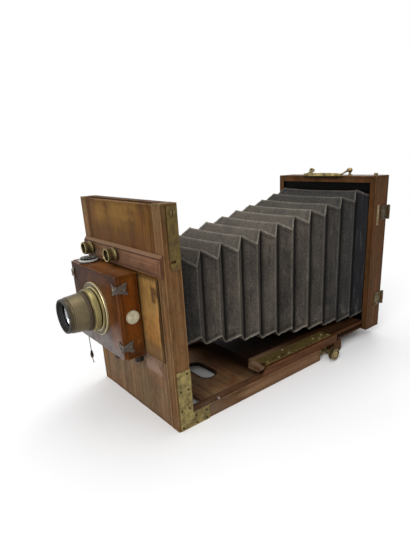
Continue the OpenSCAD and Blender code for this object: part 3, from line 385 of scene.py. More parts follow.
class Form:
    """Points and faces of one piece, in millimetres from the camera's front face."""

    def __init__(self):
        self.points, self.faces, self.marks = [], [], {}

    def add(self, points, faces, **marks):
        """Points, the faces between them, and numbers kept on them."""
        start = len(self.points)
        self.points += [tuple(p) for p in points]
        self.faces += [tuple(start + i for i in f) for f in faces]
        for key, value in marks.items():
            self.marks.setdefault(key, {}).update({start + i: v for i, v in enumerate(value)})
        return self

    def grid(self, rows, closed=False, **marks):
        """Quads through rows of points of one length."""
        wide = len(rows[0])
        last = wide if closed else wide - 1
        faces = [(r * wide + c, r * wide + (c + 1) % wide, (r + 1) * wide + (c + 1) % wide,
                  (r + 1) * wide + c) for r in range(len(rows) - 1) for c in range(last)]
        return self.add([p for row in rows for p in row], faces, **marks)

    def lathe(self, outline, centre, axis=1, steps=96, milled=None):
        """Turns an outline of radius and distance about an axis; milled rows are toothed."""
        rows = []
        for i, (radius, along) in enumerate(outline):
            row = []
            for s in range(steps):
                tooth = (milled or {}).get(i, 0) if s % 2 else 0
                angle = 2 * math.pi * s / steps
                a, b = (radius - tooth) * math.cos(angle), (radius - tooth) * math.sin(angle)
                offset = {0: (along, a, b), 1: (b, along, a), 2: (a, b, along)}[axis]
                row.append(tuple(c + o for c, o in zip(centre, offset)))
            rows.append(row)
        return self.grid(rows, closed=True)

    def block(self, x, y, z):
        """A box between pairs of places along each axis."""
        corners = [(a, b, c) for a in x for b in y for c in z]
        faces = [(0, 1, 3, 2), (4, 6, 7, 5), (0, 4, 5, 1), (2, 3, 7, 6), (0, 2, 6, 4), (1, 5, 7, 3)]
        return self.add(corners, faces)

    def slab(self, outline, span, axis):
        """A flat outline pushed along an axis; the outline's two axes follow in XYZ order."""
        others = [i for i in range(3) if i != axis]
        points = []
        for level in span:
            for a, b in outline:
                p = [0, 0, 0]
                p[axis], p[others[0]], p[others[1]] = level, a, b
                points.append(p)
        n = len(outline)
        faces = [tuple(range(n))[::-1], tuple(range(n, 2 * n))]
        faces += [(i, (i + 1) % n, n + (i + 1) % n, n + i) for i in range(n)]
        return self.add(points, faces)

    def tube(self, route, radius, sides=12):
        """A round tube through points; the radius may be one number or one for each point."""
        route = [Vector(p) for p in route]
        radii = radius if isinstance(radius, (list, tuple)) else [radius] * len(route)
        side, rows = None, []
        for i, p in enumerate(route):
            ahead = (route[min(i + 1, len(route) - 1)] - route[max(i - 1, 0)]).normalized()
            side = ahead.orthogonal().normalized() if side is None else side
            side = (side - ahead * side.dot(ahead)).normalized()
            up = ahead.cross(side)
            rows.append([p + (side * math.cos(a) + up * math.sin(a)) * radii[i]
                         for a in (2 * math.pi * s / sides for s in range(sides))])
        start = len(self.points)
        self.grid(rows, closed=True)
        self.faces.append(tuple(start + s for s in range(sides))[::-1])
        base = start + sides * (len(rows) - 1)
        self.faces.append(tuple(base + s for s in range(sides)))
        return self

    def screw(self, centre, out, radius, height, turn=0.0, slot=0.17):
        """A domed screw head with a slot across it."""
        out = Vector(out).normalized()
        side = Matrix.Rotation(turn, 3, out) @ out.orthogonal().normalized()
        up = out.cross(side)
        deep, rows, cut = height * 0.25, [], []
        for r, h in ((1, 0), (1, 0.45), (0.9, 0.75), (0.6, 0.95), (slot * 1.02, 1.0)):
            half = math.asin(min(1.0, slot / r))
            row, low = [], min(h * height, deep)
            for base in (0.0, math.pi):
                spots = [(base - half, h * height, 0), (base - half, low, 1), (base + half, low, 1)]
                arc = [base + half + (math.pi - 2 * half) * i / 9 for i in range(9)]
                spots += [(a, h * height, 0) for a in arc]
                for angle, level, mark in spots:
                    flat = (side * math.cos(angle) + up * math.sin(angle)) * r * radius
                    row.append(Vector(centre) + flat + out * level)
                    cut.append(mark)
            rows.append(row)
        start = len(self.points)
        self.grid(rows, closed=True, cut=cut)
        last = start + len(rows[0]) * (len(rows) - 1)
        self.faces.append(tuple(last + i for i in (1, 2, 13, 14)))
        return self

    def build(self, name, body, finish, slot, stands_for=(), soft=0.0, angle=35, thick=0.0):
        """The object, riding on its body and dressed."""
        mesh = bpy.data.meshes.new(name)
        mesh.from_pydata([at(*p) for p in self.points], [], self.faces)
        for key, values in self.marks.items():
            layer = mesh.attributes.new(key, "FLOAT", "POINT")
            layer.data.foreach_set("value", [values.get(i, 0.0) for i in range(len(mesh.vertices))])
        tidy = bmesh.new()
        tidy.from_mesh(mesh)
        bmesh.ops.remove_doubles(tidy, verts=tidy.verts, dist=1e-6)
        bmesh.ops.recalc_face_normals(tidy, faces=tidy.faces)
        tidy.to_mesh(mesh)
        tidy.free()
        mesh.materials.append(finish)
        mesh.validate()
        piece = bpy.data.objects.new(name, mesh)
        bpy.context.scene.collection.objects.link(piece)
        mesh.shade_smooth()
        if soft:
            soften(piece, soft)
        else:
            mesh.set_sharp_from_angle(angle=math.radians(angle))
        if thick:
            shell = piece.modifiers.new("thickness", "SOLIDIFY")
            shell.thickness, shell.offset = thick * MM, -1
        if body:
            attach(piece, body)
        if stands_for:
            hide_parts(*stands_for)
        return piece


def soften(piece, width, segments=2):
    """Rounds a piece's sharp edges."""
    bevel = piece.modifiers.new("soft edges", "BEVEL")
    bevel.width, bevel.segments = width * MM, segments
    bevel.limit_method, bevel.angle_limit = "ANGLE", math.radians(32)
    bevel.harden_normals = True


def dress(node, finish, soft=0.5):
    """Gives a CAD node its material and rounds its edges."""
    piece = NODES[node]
    mesh = piece.data
    if "custom_normal" in mesh.attributes:
        mesh.attributes.remove(mesh.attributes["custom_normal"])
    mesh.materials.clear()
    mesh.materials.append(finish)
    mesh.polygons.foreach_set("material_index", [0] * len(mesh.polygons))
    mesh.shade_smooth()
    weld = piece.modifiers.new("weld", "WELD")
    weld.merge_threshold = 2e-6
    if soft:
        soften(piece, soft)
    else:
        mesh.set_sharp_from_angle(angle=math.radians(35))
    return piece


# Settings


def length(name, description, millimetres):
    """A length setting, with its default written in millimetres."""
    return FloatProperty(name=name, description=description, default=millimetres * MM,
                         unit="LENGTH", subtype="DISTANCE")


def colour(name, description, *screen):
    """A colour setting, with its default written in 0 to 255 screen values."""
    return FloatVectorProperty(name=name, description=description, default=tone(*screen),
                               subtype="COLOR", size=3, min=0.0, max=1.0)


class WoodTones(bpy.types.PropertyGroup):
    """Mean colours of the woods."""

    frame: colour("Frame", "Stiles, cross bar and other boards of the front", 106, 81, 56)
    panel: colour("Upper panel", "Board above the cross bar", 90, 62, 33)
    lens_board: colour("Lens board", "Pale board behind the shutter", 134, 101, 61)
    lower: colour("Lower board", "Board at the foot of the front", 104, 84, 64)
    case: colour("Case", "Polished case of the shutter", 96, 55, 22)
    rail: colour("Rails", "Sides of the bed's rails", 106, 80, 58)
    bed: colour("Bed", "Base board, walls and tailboard", 70, 46, 32)
    back: colour("Back", "Boards of the back frame", 80, 56, 38)


class MetalTones(bpy.types.PropertyGroup):
    """Colours of the metals."""

    bright: colour("Bright brass", "Rubbed parts of turned brass", 168, 148, 98)
    olive: colour("Olive brass", "Dull parts of turned brass", 70, 61, 37)
    bronze: colour("Bronze", "Lens barrel", 118, 106, 80)
    gun: colour("Gun metal", "Clips of the shutter's lid", 118, 108, 98)


class CordSizes(bpy.types.PropertyGroup):
    """Sizes of the pull cord and its bead."""

    thick: length("Cord", "Diameter of the pull cord", 0.9)
    bead: length("Bead", "Radius of the bead", 1.8)


class ShutterSizes(bpy.types.PropertyGroup):
    """Sizes of the shutter's fittings."""

    clip_height: length("Clip height", "Height of a lid clip at its ends", 12.0)
    clip_front: length("Clip front", "Reach of a lid clip over the lid, from the case's edge", 8.4)
    clip_side: length("Clip side", "Reach of a lid clip along the side, from the lid's face", 12.5)
    dial: length("Dial", "Radius of the setting dial", 9.8)


class BellowsSizes(bpy.types.PropertyGroup):
    """Sizes of the bellows."""

    pleats: IntProperty(name="Pleats", description="Folds from front to rear", default=11, min=4)
    front_half: length("Front half width", "At the side ridges", 55)
    rear_half: length("Rear half width", "At the side ridges", 71.5)
    cloth: length("Cloth", "Thickness of the cloth", 0.8)


SETTINGS = {"field_woods": WoodTones, "field_metals": MetalTones, "field_cord": CordSizes,
            "field_shutter": ShutterSizes, "field_bellows": BellowsSizes}


def brasses(context):
    """The colours of bright and of dull brass."""
    metals = context.scene.field_metals
    return tuple(metals.bright), tuple(metals.olive)


# Pieces


class MakeStage(bpy.types.Operator):
    """Floor, light and the camera at the photograph's angle"""

    bl_idname = "field_camera.stage"
    bl_label = "Stage"

    def execute(self, context):
        scene = context.scene
        scene.view_settings.view_transform = "Standard"
        self.camera(scene)
        self.floor(scene)
        self.lights(scene)
        return {"FINISHED"}

    def camera(self, scene):
        """The photograph's viewpoint, with its picture sizes in pixels."""
        wide, tall, focus = 410.0, 547.0, 425.05
        axis_x, axis_y = 228.81, 301.52
        data = bpy.data.cameras.new("viewpoint")
        data.sensor_fit, data.sensor_width = "AUTO", 36.0
        data.lens = focus * data.sensor_width / tall
        data.shift_x, data.shift_y = (wide / 2 - axis_x) / tall, (axis_y - tall / 2) / tall
        data.clip_start, data.clip_end = 0.01, 20.0
        seen = bpy.data.objects.new("viewpoint", data)
        scene.collection.objects.link(seen)
        right = Vector((0.65144, 0.75765, -0.03986))
        up = Vector((-0.21943, 0.23844, 0.94604))
        ahead = Vector((-0.72627, 0.60755, -0.32158))
        turn = Matrix((right, up, -ahead)).transposed()
        seen.matrix_world = Matrix.Translation(at(379.52, -182.68, 249.59)) @ turn.to_4x4()
        scene.camera = seen

    def floor(self, scene):
        """A pale floor that fades into the white background."""
        far = 4
        mesh = bpy.data.meshes.new("floor")
        mesh.from_pydata([(-far, -far, 0), (far, -far, 0), (far, far, 0), (-far, far, 0)], [],
                         [(0, 1, 2, 3)])
        t = material("pale floor")
        mesh.materials.append(t.owner)
        piece = bpy.data.objects.new("floor", mesh)
        scene.collection.objects.link(piece)
        t.set(Base_Color=(0.95, 0.95, 0.955), Roughness=0.9, Specular_IOR_Level=0.0)
        glow = t.node("Emission", values={0: (1, 1, 1), 1: 1.0})
        fade = t.seen() * t.reach((0, 150, 0), 2).step(230.0, 600.0)
        mixed = t.node("MixShader", values={0: fade, 1: Wire(t, t.shell.outputs[0]), 2: glow})
        t.feed(t.out.inputs[0], mixed)

    def lights(self, scene):
        """A white room and four soft lamps: place, width, height and power of each."""
        room = 0.48
        scene.world = bpy.data.worlds.new("plain room")
        t = Tree(scene.world)
        t.set(Color=(1, 1, 1), Strength=t.seen() * (1 - room) + room)
        lamps = {
            "key": ((0.75, -1.2, 1.1), 0.9, 0.9, 17.0),
            "top": ((-0.2, 0.2, 1.6), 1.2, 1.2, 6.5),
            "window": ((-0.79, -1.14, 0.24), 0.26, 0.624, 2.4),
            "rear": ((-0.7, 1.7, 1.1), 1.2, 1.2, 11.0),
        }
        for name, (spot, width, height, power) in lamps.items():
            lamp = bpy.data.lights.new(name, "AREA")
            lamp.shape, lamp.energy = "ELLIPSE", power
            lamp.size, lamp.size_y = width, height
            piece = bpy.data.objects.new(name, lamp)
            scene.collection.objects.link(piece)
            aim = Vector((0, 0, 0.1)) - Vector(spot)
            piece.location, piece.rotation_euler = spot, aim.to_track_quat("-Z", "Y").to_euler()


class MakeCord(bpy.types.Operator):
    """Pull cord of the blind, with its bead and its knot"""

    bl_idname = "field_camera.cord"
    bl_label = "Pull cord"

    def execute(self, context):
        s = context.scene.field_cord
        steps = [(0, 0, 0), (0, 0, -3), (0.1, 0, -7), (0.1, 0, -11), (0.2, 0, -15), (0.4, 0, -19),
                 (0.5, 0, -22), (0.5, 0, -26), (0.5, 0, -31), (0.8, 0, -31.8), (1.4, 0, -32.6),
                 (2.2, 0, -33.4), (2.9, 0, -34)]
        leaves = Vector((CASE_LEFT + 5.4, CASE_FRONT + 1.8, CASE_LOW))
        route = smooth([leaves + Vector(step) for step in steps], 3)
        radius = s.thick / 2 / MM
        yarn = coated("grey cord", tone(58, 54, 50), tone(128, 120, 108), 0.85, (900, 900, 2600),
                      0.0001, 0.1)
        cord = Form().tube(route, radius, 12).build("pull_cord_line", "cross_front", yarn, "cord",
                                                    ("pull_cord",), angle=60)
        r = s.bead / MM
        bore = 0.65
        outline = [(bore, 0), (r * 0.62, 0), (r * 0.74, 0.3), (r * 0.97, 1.7), (r, 3.1), (r * 0.97, 4.4),
                   (r * 0.78, 6.4), (r * 0.68, 6.7), (r * 0.78, 7.1), (r * 0.7, 7.7), (r * 0.55, 8.5),
                   (bore, 8.5), (bore, 0)]
        low = leaves + Vector((0.5, 0, -30.5))

        def rubbed(t, tint):
            """Paler towards the bead's lower end."""
            return t.mix(t.axes()[2].step(41.0, 38.2) * 0.6, tint, tone(150, 140, 126))

        bead_wood = wood("dark bead", tone(44, 38, 34), 2, None, 3, 0.4, 0.2, 0.4, 0.5, 0.4, rubbed)
        bead = Form().lathe(outline, low, 2, 32).build("pull_bead_turned", "cross_front", bead_wood, "cord",
                                                       ("pull_bead",), angle=50)
        heart = leaves + Vector((2.9, 0, -35.02))
        loop = []
        for i in range(61):
            a = 2 * math.pi * i / 60
            trefoil = Vector((math.sin(a) + 2 * math.sin(2 * a), -math.sin(3 * a) * 1.4,
                              math.cos(a) - 2 * math.cos(2 * a)))
            loop.append(heart + 0.2 * trefoil)
        knot = Form().tube(loop, 0.38, 10).build("pull_cord_knot", "cross_front", yarn, "cord", angle=60)
        path = [at(*p) for p in route]
        return {"FINISHED"}


class MakeWoodwork(bpy.types.Operator):
    """Boards of the front, the bed and the back"""

    bl_idname = "field_camera.woodwork"
    bl_label = "Woodwork"

    def execute(self, context):
        w = context.scene.field_woods
        frame, panel, pale, lower, rail, bed, back = (
            tuple(c) for c in (w.frame, w.panel, w.lens_board, w.lower, w.rail, w.bed, w.back))
        black = tone(12, 11, 11)

        def rail_top(t, tint):
            """A red-brown top, dust towards the front, dark patches and pale sides at the rear."""
            _, y, z = t.axes()
            tint = t.mix(z.step(14.0, 14.7) * 0.75, tint, tone(84, 56, 40))
            dust = t.grain((60, 30, 120), (2, 5, 1), 4, 0.62)
            tint = t.mix(dust.step(0.45, 0.6) * y.step(90, 50) * 0.55, tint, tone(104, 92, 78))
            tint = t.mix(dust.step(0.46, 0.36) * 0.45, tint, tone(52, 36, 25))
            return t.mix(y.step(75.0, 95.0) * z.step(14.4, 13.8) * 0.35, tint, tone(140, 108, 82))

        def blacked_and_shaded(t, tint):
            """Black paint on the inner faces of the back, dark enough to stand for their shade too."""
            x, _, z = t.axes()
            inside = abs(x).step(73.5, 73.1) * z.step(211.9, 211.6) * z.step(23.6, 23.9)
            # Black paint and painted shade on the inner faces.
            return t.mix(inside, tint, tone(9, 8, 8))

        def grooved(t, tint):
            """Lines at the rear, painted shade on the top, a painted shadow of the bellows down the middle, a
            paler strip beside it, and pale cleats with a dark joint line that also paints shade on the front
            face.
            """
            x, y, z = t.axes()
            lines = z.band(18.6, 19.0, 0.25).high(z.band(22.6, 23.0, 0.25)) * y.step(240, 252)
            tint = t.mix(lines * 0.8, tint, tone(26, 18, 14))
            cleat = y.step(119.7, 119.3)
            # Painted shade on the top behind the cleats.
            tint = t.mix(z.step(25.7, 26.0) * (1 - cleat) * 0.5, tint, tone(34, 23, 16))
            # A dark joint line at the cleats' rear edge, which also paints shade over the front face.
            tint = t.mix(y.band(119.8, 120.2, 0.1) * 0.6, tint, tone(40, 24, 16))
            # Painted shadow of the bellows down the middle.
            tint = t.mix(abs(x).step(54, 46) * (1 - cleat) * 0.85, tint, tone(15, 10, 7))
            tint = t.mix(abs(x).band(51, 66, 3) * y.step(200, 130) * 0.65, tint, tone(116, 92, 70))
            return t.mix(cleat * (y.step(112.5, 114.0) * 0.5 + 0.4), tint, tone(118, 96, 74))

        def stained_and_shaded(t, tint):
            """Rust-coloured stains, a painted shadow at the rear and painted shade round and in the oblong
            hole.
            """
            x, y, _ = t.axes()
            rust = t.grain((30, 50, 30), (2, 6, 1), 5, 0.62)
            tint = t.mix(rust.step(0.52, 0.68) * 0.55, tint, tone(112, 56, 32))
            tint = t.mix(rust.step(0.46, 0.34) * 0.5, tint, tone(66, 58, 42))
            # Painted shadow of the bellows over the rear.
            tint = t.mix((y - x * 0.25).step(88.0, 128.0) * 0.75, tint, tone(22, 14, 9))
            across = (abs(x) - 12).high(0.0)
            hole = (across * across + (y - 86) * (y - 86)) ** 0.5
            # Painted shade round and in the oblong hole.
            return t.mix(hole.step(13.6, 10.6) * 0.9, tint, tone(12, 9, 7))

        def panelled(t, tint):
            """A golden patch above, a darker left end and foot, and a faint line at the right."""
            x, _, z = t.axes()
            blot = t.grain((28, 28, 44), (2, 6, 1), 4, 0.6)
            gold = z.step(186, 202) * x.band(-44, 34, 16)
            tint = t.mix(gold * blot.step(0.36, 0.6) * 0.6, tint, tone(124, 92, 42))
            tint = t.mix(x.step(-40, -60) * 0.5, tint, tone(70, 48, 30))
            tint = t.mix(z.band(177, 186, 5) * blot.step(0.6, 0.42) * 0.5, tint, tone(84, 54, 34))
            return t.mix(x.band(47.6, 48.2, 0.3) * 0.6, tint, tone(58, 38, 22))

        def patched(t, tint):
            """A pale spot, a faint upright line and a dark left end."""
            x, _, z = t.axes()
            blot = t.grain((60, 60, 60), (8, 2, 4), 4, 0.62)
            pale_spot = x.band(30, 56, 6) * z.band(54, 66, 4) * blot.step(0.36, 0.56)
            tint = t.mix(pale_spot * 0.5, tint, tone(140, 116, 106))
            tint = t.mix(x.band(59.0, 60.4, 0.8) * z.step(40, 60) * 0.5, tint, tone(60, 46, 36))
            return t.mix(x.step(-58, -72) * 0.5, tint, tone(62, 46, 32))

        def split(t, tint):
            """Mottled, with a dark right end, a knot, and darker upper and lower edges."""
            x, _, z = t.axes()
            blot = t.grain((60, 60, 40), (3, 1, 6), 4, 0.62)
            tint = t.mix(blot.step(0.52, 0.66) * 0.55, tint, tone(96, 70, 44))
            tint = t.mix(blot.step(0.44, 0.34) * 0.35, tint, tone(168, 128, 74))
            right_end = (x + (blot - 0.5) * 7 - (z - 110) * 0.012).step(60.6, 61.6)
            tint = t.mix(right_end * 0.95, tint, tone(22, 15, 10))
            knot = x.band(52, 60, 2) * z.band(128, 140, 3) * blot.step(0.4, 0.55)
            tint = t.mix(knot * 0.8, tint, tone(66, 44, 30))
            tint = t.mix((z + (blot - 0.5) * 14).step(88, 80) * 0.6, tint, tone(92, 68, 48))
            return t.mix(z.step(146.5, 149.5) * 0.6, tint, tone(60, 42, 28))

        def shadowed(t, tint):
            """Dark in the gap between the lens board and each stile."""
            x, _, z = t.axes()
            return t.mix(abs(x).step(62.8, 63.4) * z.step(151, 150) * 0.92, tint, tone(22, 16, 11))

        red = tone(96, 66, 48)
        boards = {
            "front_stile_left": (frame, 2),
            "front_stile_right": (frame, 2),
            "front_lower_board": (lower, 2, patched),
            "front_sill": (bed, 0),
            "front_inner_frame": (back, 0),
            "rising_board": (frame, 0, shadowed),
            "front_panel": (panel, 2, panelled),
            "lens_board": (pale, 2, split),
            "bed_rail_front_left": (rail, 1, rail_top),
            "bed_rail_front_right": (rail, 1, rail_top),
            "bed_rail_rear_left": (rail, 1, rail_top),
            "bed_rail_rear_right": (rail, 1, rail_top),
            "base_board": (tone(132, 102, 76), 0, stained_and_shaded),
            "guide_wall_left": (red, 1),
            "guide_wall_right": (red, 1),
            "rear_cross_block": (back, 0),
            "tailboard": (bed, 1, grooved),
            "back_frame": (back, 2, blacked_and_shaded),
            "screen_frame": (back, 2),
            "slide_plate": (tone(30, 20, 14), 2),
            "bellows_front_ring": (black, 0),
            "bellows_rear_ring": (black, 0),
            "blind_roller_left": (pale, 2),
            "blind_roller_right": (pale, 2),
        }
        for seed, (node, (shown, axis, *paint)) in enumerate(boards.items()):
            thin = any(word in node for word in ("roller", "slide", "ring"))
            wear = 0.1 if node == "lens_board" else 0.6
            finish = wood(node + " wood", shown, axis, span(node), seed + 1, wear=wear,
                          paint=paint[0] if paint else None)
            dress(node, finish, 0.25 if thin else 0.6)
        self.cross_bar(frame)
        return {"FINISHED"}

    def cross_bar(self, frame):
        """The bar across the front, with a sloped upper edge, pale as rubbed and as a painted highlight,
        above a painted shadow line.
        """
        (_, face, low), (half, rear, high) = span("cross_bar")
        tongue = 66.6
        section = [(face, low), (face, high - 3.6), (-3.3, high - 3.3), (-3.3, high - 2.7),
                   (-1.7, high - 0.5), (-1.2, high), (-rear, high), (-rear, low)]
        form = Form().slab(section, (-half, half), 0)
        form.block((-tongue, tongue), (-rear, rear), (low, high))

        def edged(t, tint):
            """A pale upper edge, rubbed and a painted highlight, above a painted shadow line."""
            _, y, z = t.axes()
            # Painted highlight on the sloped upper edge, which is also rubbed.
            tint = t.mix(z.step(high - 2.9, high - 2.2) * 0.55, tint, tone(158, 126, 98))
            # Painted shadow line below it.
            line = z.band(high - 3.5, high - 2.9, 0.2) * y.step(-2.9, -3.2)
            return t.mix(line * 0.8, tint, tone(40, 26, 18))

        box = ((-half, face, low), (half, -rear, high))
        greyed = tuple(c * k for c, k in zip(frame, (0.88, 0.84, 1.1)))
        finish = wood("cross bar wood", greyed, 0, box, 40, paint=edged)
        form.build("cross_bar_moulded", "rising_front", finish, "frame_wood", ("cross_bar",), soft=0.4)


class MakeShutter(bpy.types.Operator):
    """Polished case of the shutter, its clips, disc and studs"""

    bl_idname = "field_camera.shutter"
    bl_label = "Shutter case"

    def execute(self, context):
        case = tuple(context.scene.field_woods.case)

        def polished(t, tint):
            """A dark lid with a glow, golden clouds, small nicks and a pale upper edge."""
            x, y, z = t.axes()
            cloud = t.grain((26, 26, 16), (4, 9, 1), 3, 0.55, 0.6)
            lid = y.step(-23.9, -24.2)
            glow = x.step(4.0, 16.0) * z.band(88, 134, 14)
            tint = t.mix(lid * (1 - glow) * 0.9, tint, tone(40, 22, 14))
            tint = t.mix(lid * glow * 0.8, tint, tone(70, 36, 14))
            tint = t.mix(cloud.step(0.44, 0.66) * (0.45 - lid * 0.25), tint, tone(134, 78, 30))
            tint = t.mix(cloud.step(0.48, 0.34) * 0.5, tint, tone(40, 22, 12))
            tint = t.mix(z.step(88, 72) * (1 - lid) * 0.5, tint, tone(58, 40, 26))
            nick = t.grain((420, 160, 160), (3, 3, 8), 3, 0.6)
            tint = t.mix(nick.step(0.62, 0.7) * 0.25, tint, tone(150, 104, 64))
            return t.mix(z.step(151.0, 151.8) * 0.45, tint, tone(132, 90, 56))

        def varnish(t):
            """How much clear coat is left: most at the lid's foot, less on the sides."""
            _, y, z = t.axes()
            worn = t.grain((60, 60, 60), (6, 1, 3), 4, 0.6)
            lid = y.step(-23.9, -24.2)
            return (0.04 + z.step(108, 76) * lid * 0.8 + (1 - lid) * 0.35) * (worn.step(0.3, 0.6) * 0.5 + 0.5)

        for node in ("shutter_case", "shutter_lid"):
            finish = wood(node + " polish", case, 2, span(node), 33, 0.45, varnish, 0.4, 0.75, 0.5,
                          polished)
            dress(node, finish, 0.5)
        self.clips(context)

        def plain(t, tint):
            """A darker rim and a bare face."""
            r = t.reach(middle("side_disc"), 0)
            return t.mix(r.step(5.6, 6.4) * 0.45, tint, tone(120, 108, 84))

        disc = coated("bare disc", tone(158, 150, 122), tone(206, 200, 176), 0.6, (380, 380, 380),
                      0.00006, 0.3, plain)
        dress("side_disc", disc, 0.15)
        dark = metal("stud steel", tone(58, 52, 48), tone(26, 23, 21), 0.5, 5, 0.5)
        for node in ("case_studs", "release_pin"):
            dress(node, dark, 0.3)
        return {"FINISHED"}

    def clips(self, context):
        """Four waisted strips folded round the lid's edges, each with two screws."""
        s = context.scene.field_shutter
        rise = 29  # from the lens's axis, up and down to the middle of a clip
        form, screws = Form(), Form()
        tall = s.clip_height / MM / 2
        waist = [(0, 0.62), (0.2, 0.56), (0.45, 0.66), (0.7, 0.94), (0.88, 1.0), (1.01, 0.92)]
        for side, edge in ((1, CASE_RIGHT + CLIP_PROUD), (-1, CASE_LEFT - CLIP_PROUD)):
            for z in (LENS_Z - rise, LENS_Z + rise):
                rows = []
                for i in range(45):
                    row = []
                    for k in range(11):
                        u = k / 5 - 1
                        notch = 0.8 + 0.2 * abs(u) ** 1.3
                        front, back = s.clip_front / MM * notch, s.clip_side / MM * notch
                        far = -front + (front + back) * i / 44
                        share = abs(far) / (front if far < 0 else back)
                        half = tall * between(waist, share)
                        swell = 0.12 * math.sin(u * 4) * share
                        x, y = self.fold(far, edge, side)
                        row.append((x, y, z + half * u + swell))
                    rows.append(row)
                form.grid(rows)
                front_head = (edge - side * 5.0, LID_FRONT - CLIP_PROUD, z)
                screws.screw(front_head, (0, -1, 0), 1.75, 0.7, 0.5 * side + z)
                screws.screw((edge, LID_FRONT + 8.5, z), (side, 0, 0), 1.75, 0.7, 0.9 + z)
        gun = tuple(context.scene.field_metals.gun)
        finish = metal("clip metal", gun, shade(gun, 0.3), 0.42, 11, 0.5, depth=0.00012)
        piece = form.build("lid_clips_forged", "cross_front", finish, "dark_steel", ("lid_clips",),
                           angle=50, thick=0.95)
        soften(piece, 0.2)
        heads = metal("clip screws", shade(gun, 1.3), shade(gun, 0.35), 0.35, 12, 0.35)
        screws.build("lid_clip_screws", "cross_front", heads, "dark_steel", angle=30)

    def fold(self, s, edge, side, r=1.1):
        """Place on the folded strip at a distance from the fold; front leg before 0, side leg after."""
        q = math.pi * r / 4
        face = LID_FRONT - CLIP_PROUD
        if s < -q:
            return edge - side * (-s - q + r), face
        if s > q:
            return edge, face + (s - q) + r
        a = (s + q) / r
        return edge - side * r + side * r * math.sin(a), face + r - r * math.cos(a)


class MakeBlind(bpy.types.Operator):
    """Cloth blind between the shutter's rollers"""

    bl_idname = "field_camera.blind"
    bl_label = "Shutter blind"

    def execute(self, context):
        left, right, low, high = ROLLER_LEFT, ROLLER_RIGHT, BLIND_LOW, BLIND_HIGH
        plane = middle("shutter_blind")[1]
        rows = []
        for i in range(31):
            z = low + (high - low) * i / 30
            row = []
            for k in range(25):
                x = left + (right - left) * k / 24
                ripple = math.sin(math.pi * k / 24) * noise.noise(Vector((x * 0.05, 2.0, z * 0.09)))
                row.append((x, plane + 0.09 * ripple, z))
            rows.append(row)
        cloth = coated("blind cloth", tone(24, 23, 22), tone(58, 54, 50), 0.9, (1800, 1800, 900),
                       0.0001, 0.15)
        piece = Form().grid(rows).build("shutter_blind_cloth", "cross_front", cloth, "blind_cloth",
                                        ("shutter_blind",), angle=60, thick=0.3)
        (right - left) * MM
        (high - low) * MM
        return {"FINISHED"}


class MakeDial(bpy.types.Operator):
    """Setting dial with a milled rim, a pale ring and a black ring with plain marks"""

    bl_idname = "field_camera.dial"
    bl_label = "Setting dial"

    def execute(self, context):
        r = context.scene.field_shutter.dial / MM
        centre = (ROLLER_LEFT, ROLLER_Y, CASE_TOP)
        outline = [(2.6, 0.2), (r - 0.5, 0.2), (r - 0.5, 1.4), (r, 1.6), (r, 2.5), (r - 0.3, 2.8),
                   (r - 1.8, 3.0), (r - 1.9, 3.2), (r - 1.9, 4.9), (r - 2.2, 5.2), (r - 4.2, 5.3),
                   (r - 4.3, 5.0), (3.6, 5.0), (3.5, 5.4), (3.0, 5.6), (1.2, 5.6), (1.0, 5.3), (0, 5.3)]
        form = Form().lathe(outline, centre, 2, 120, {3: 0.28, 4: 0.28, 7: 0.4, 8: 0.4, 9: 0.3})
        t = material("dial enamel")
        out = t.reach(centre, 2)
        x, y, z = (place - c for place, c in zip(t.axes(), centre))
        angle = y.math("ARCTAN2", x)
        ticks = (angle * 14).math("SINE").step(0.2, 0.5)
        worn = t.grain((500, 500, 500), (2, 2, 8), 4, 0.6)
        tint = t.mix(worn, tone(120, 117, 110), tone(206, 203, 194))
        tint = t.mix(z.step(1.5, 1.3), tint, tone(44, 42, 40))
        tint = t.mix(z.step(3.0, 3.2), tint, tone(20, 20, 21))
        rim = out.band(r - 2.7, r - 2.1, 0.12) * z.step(5.0, 5.1)
        tint = t.mix(rim * (angle * 18).math("SINE").step(-0.2, 0.3), tint, tone(190, 188, 180))
        tint = t.mix(out.band(4.3, r - 4.4, 0.12) * (0.4 + ticks * 0.6), tint, tone(196, 194, 186))
        tint = t.mix(out.step(3.4, 3.2) * 0.9, tint, tone(128, 124, 116))
        tint = t.mix(out.step(1.2, 1.0), tint, tone(18, 17, 16))
        tint = t.mix(worn.step(0.56, 0.7) * 0.5, tint, tone(60, 57, 52))
        t.set(Base_Color=tint, Roughness=0.34 + worn * 0.25, Specular_IOR_Level=0.3,
              Normal=t.bump(worn, 0.00005, 0.5))
        form.build("setting_dial_ringed", "dial", t.owner, "pale_metal", ("setting_dial",), angle=30)
        return {"FINISHED"}


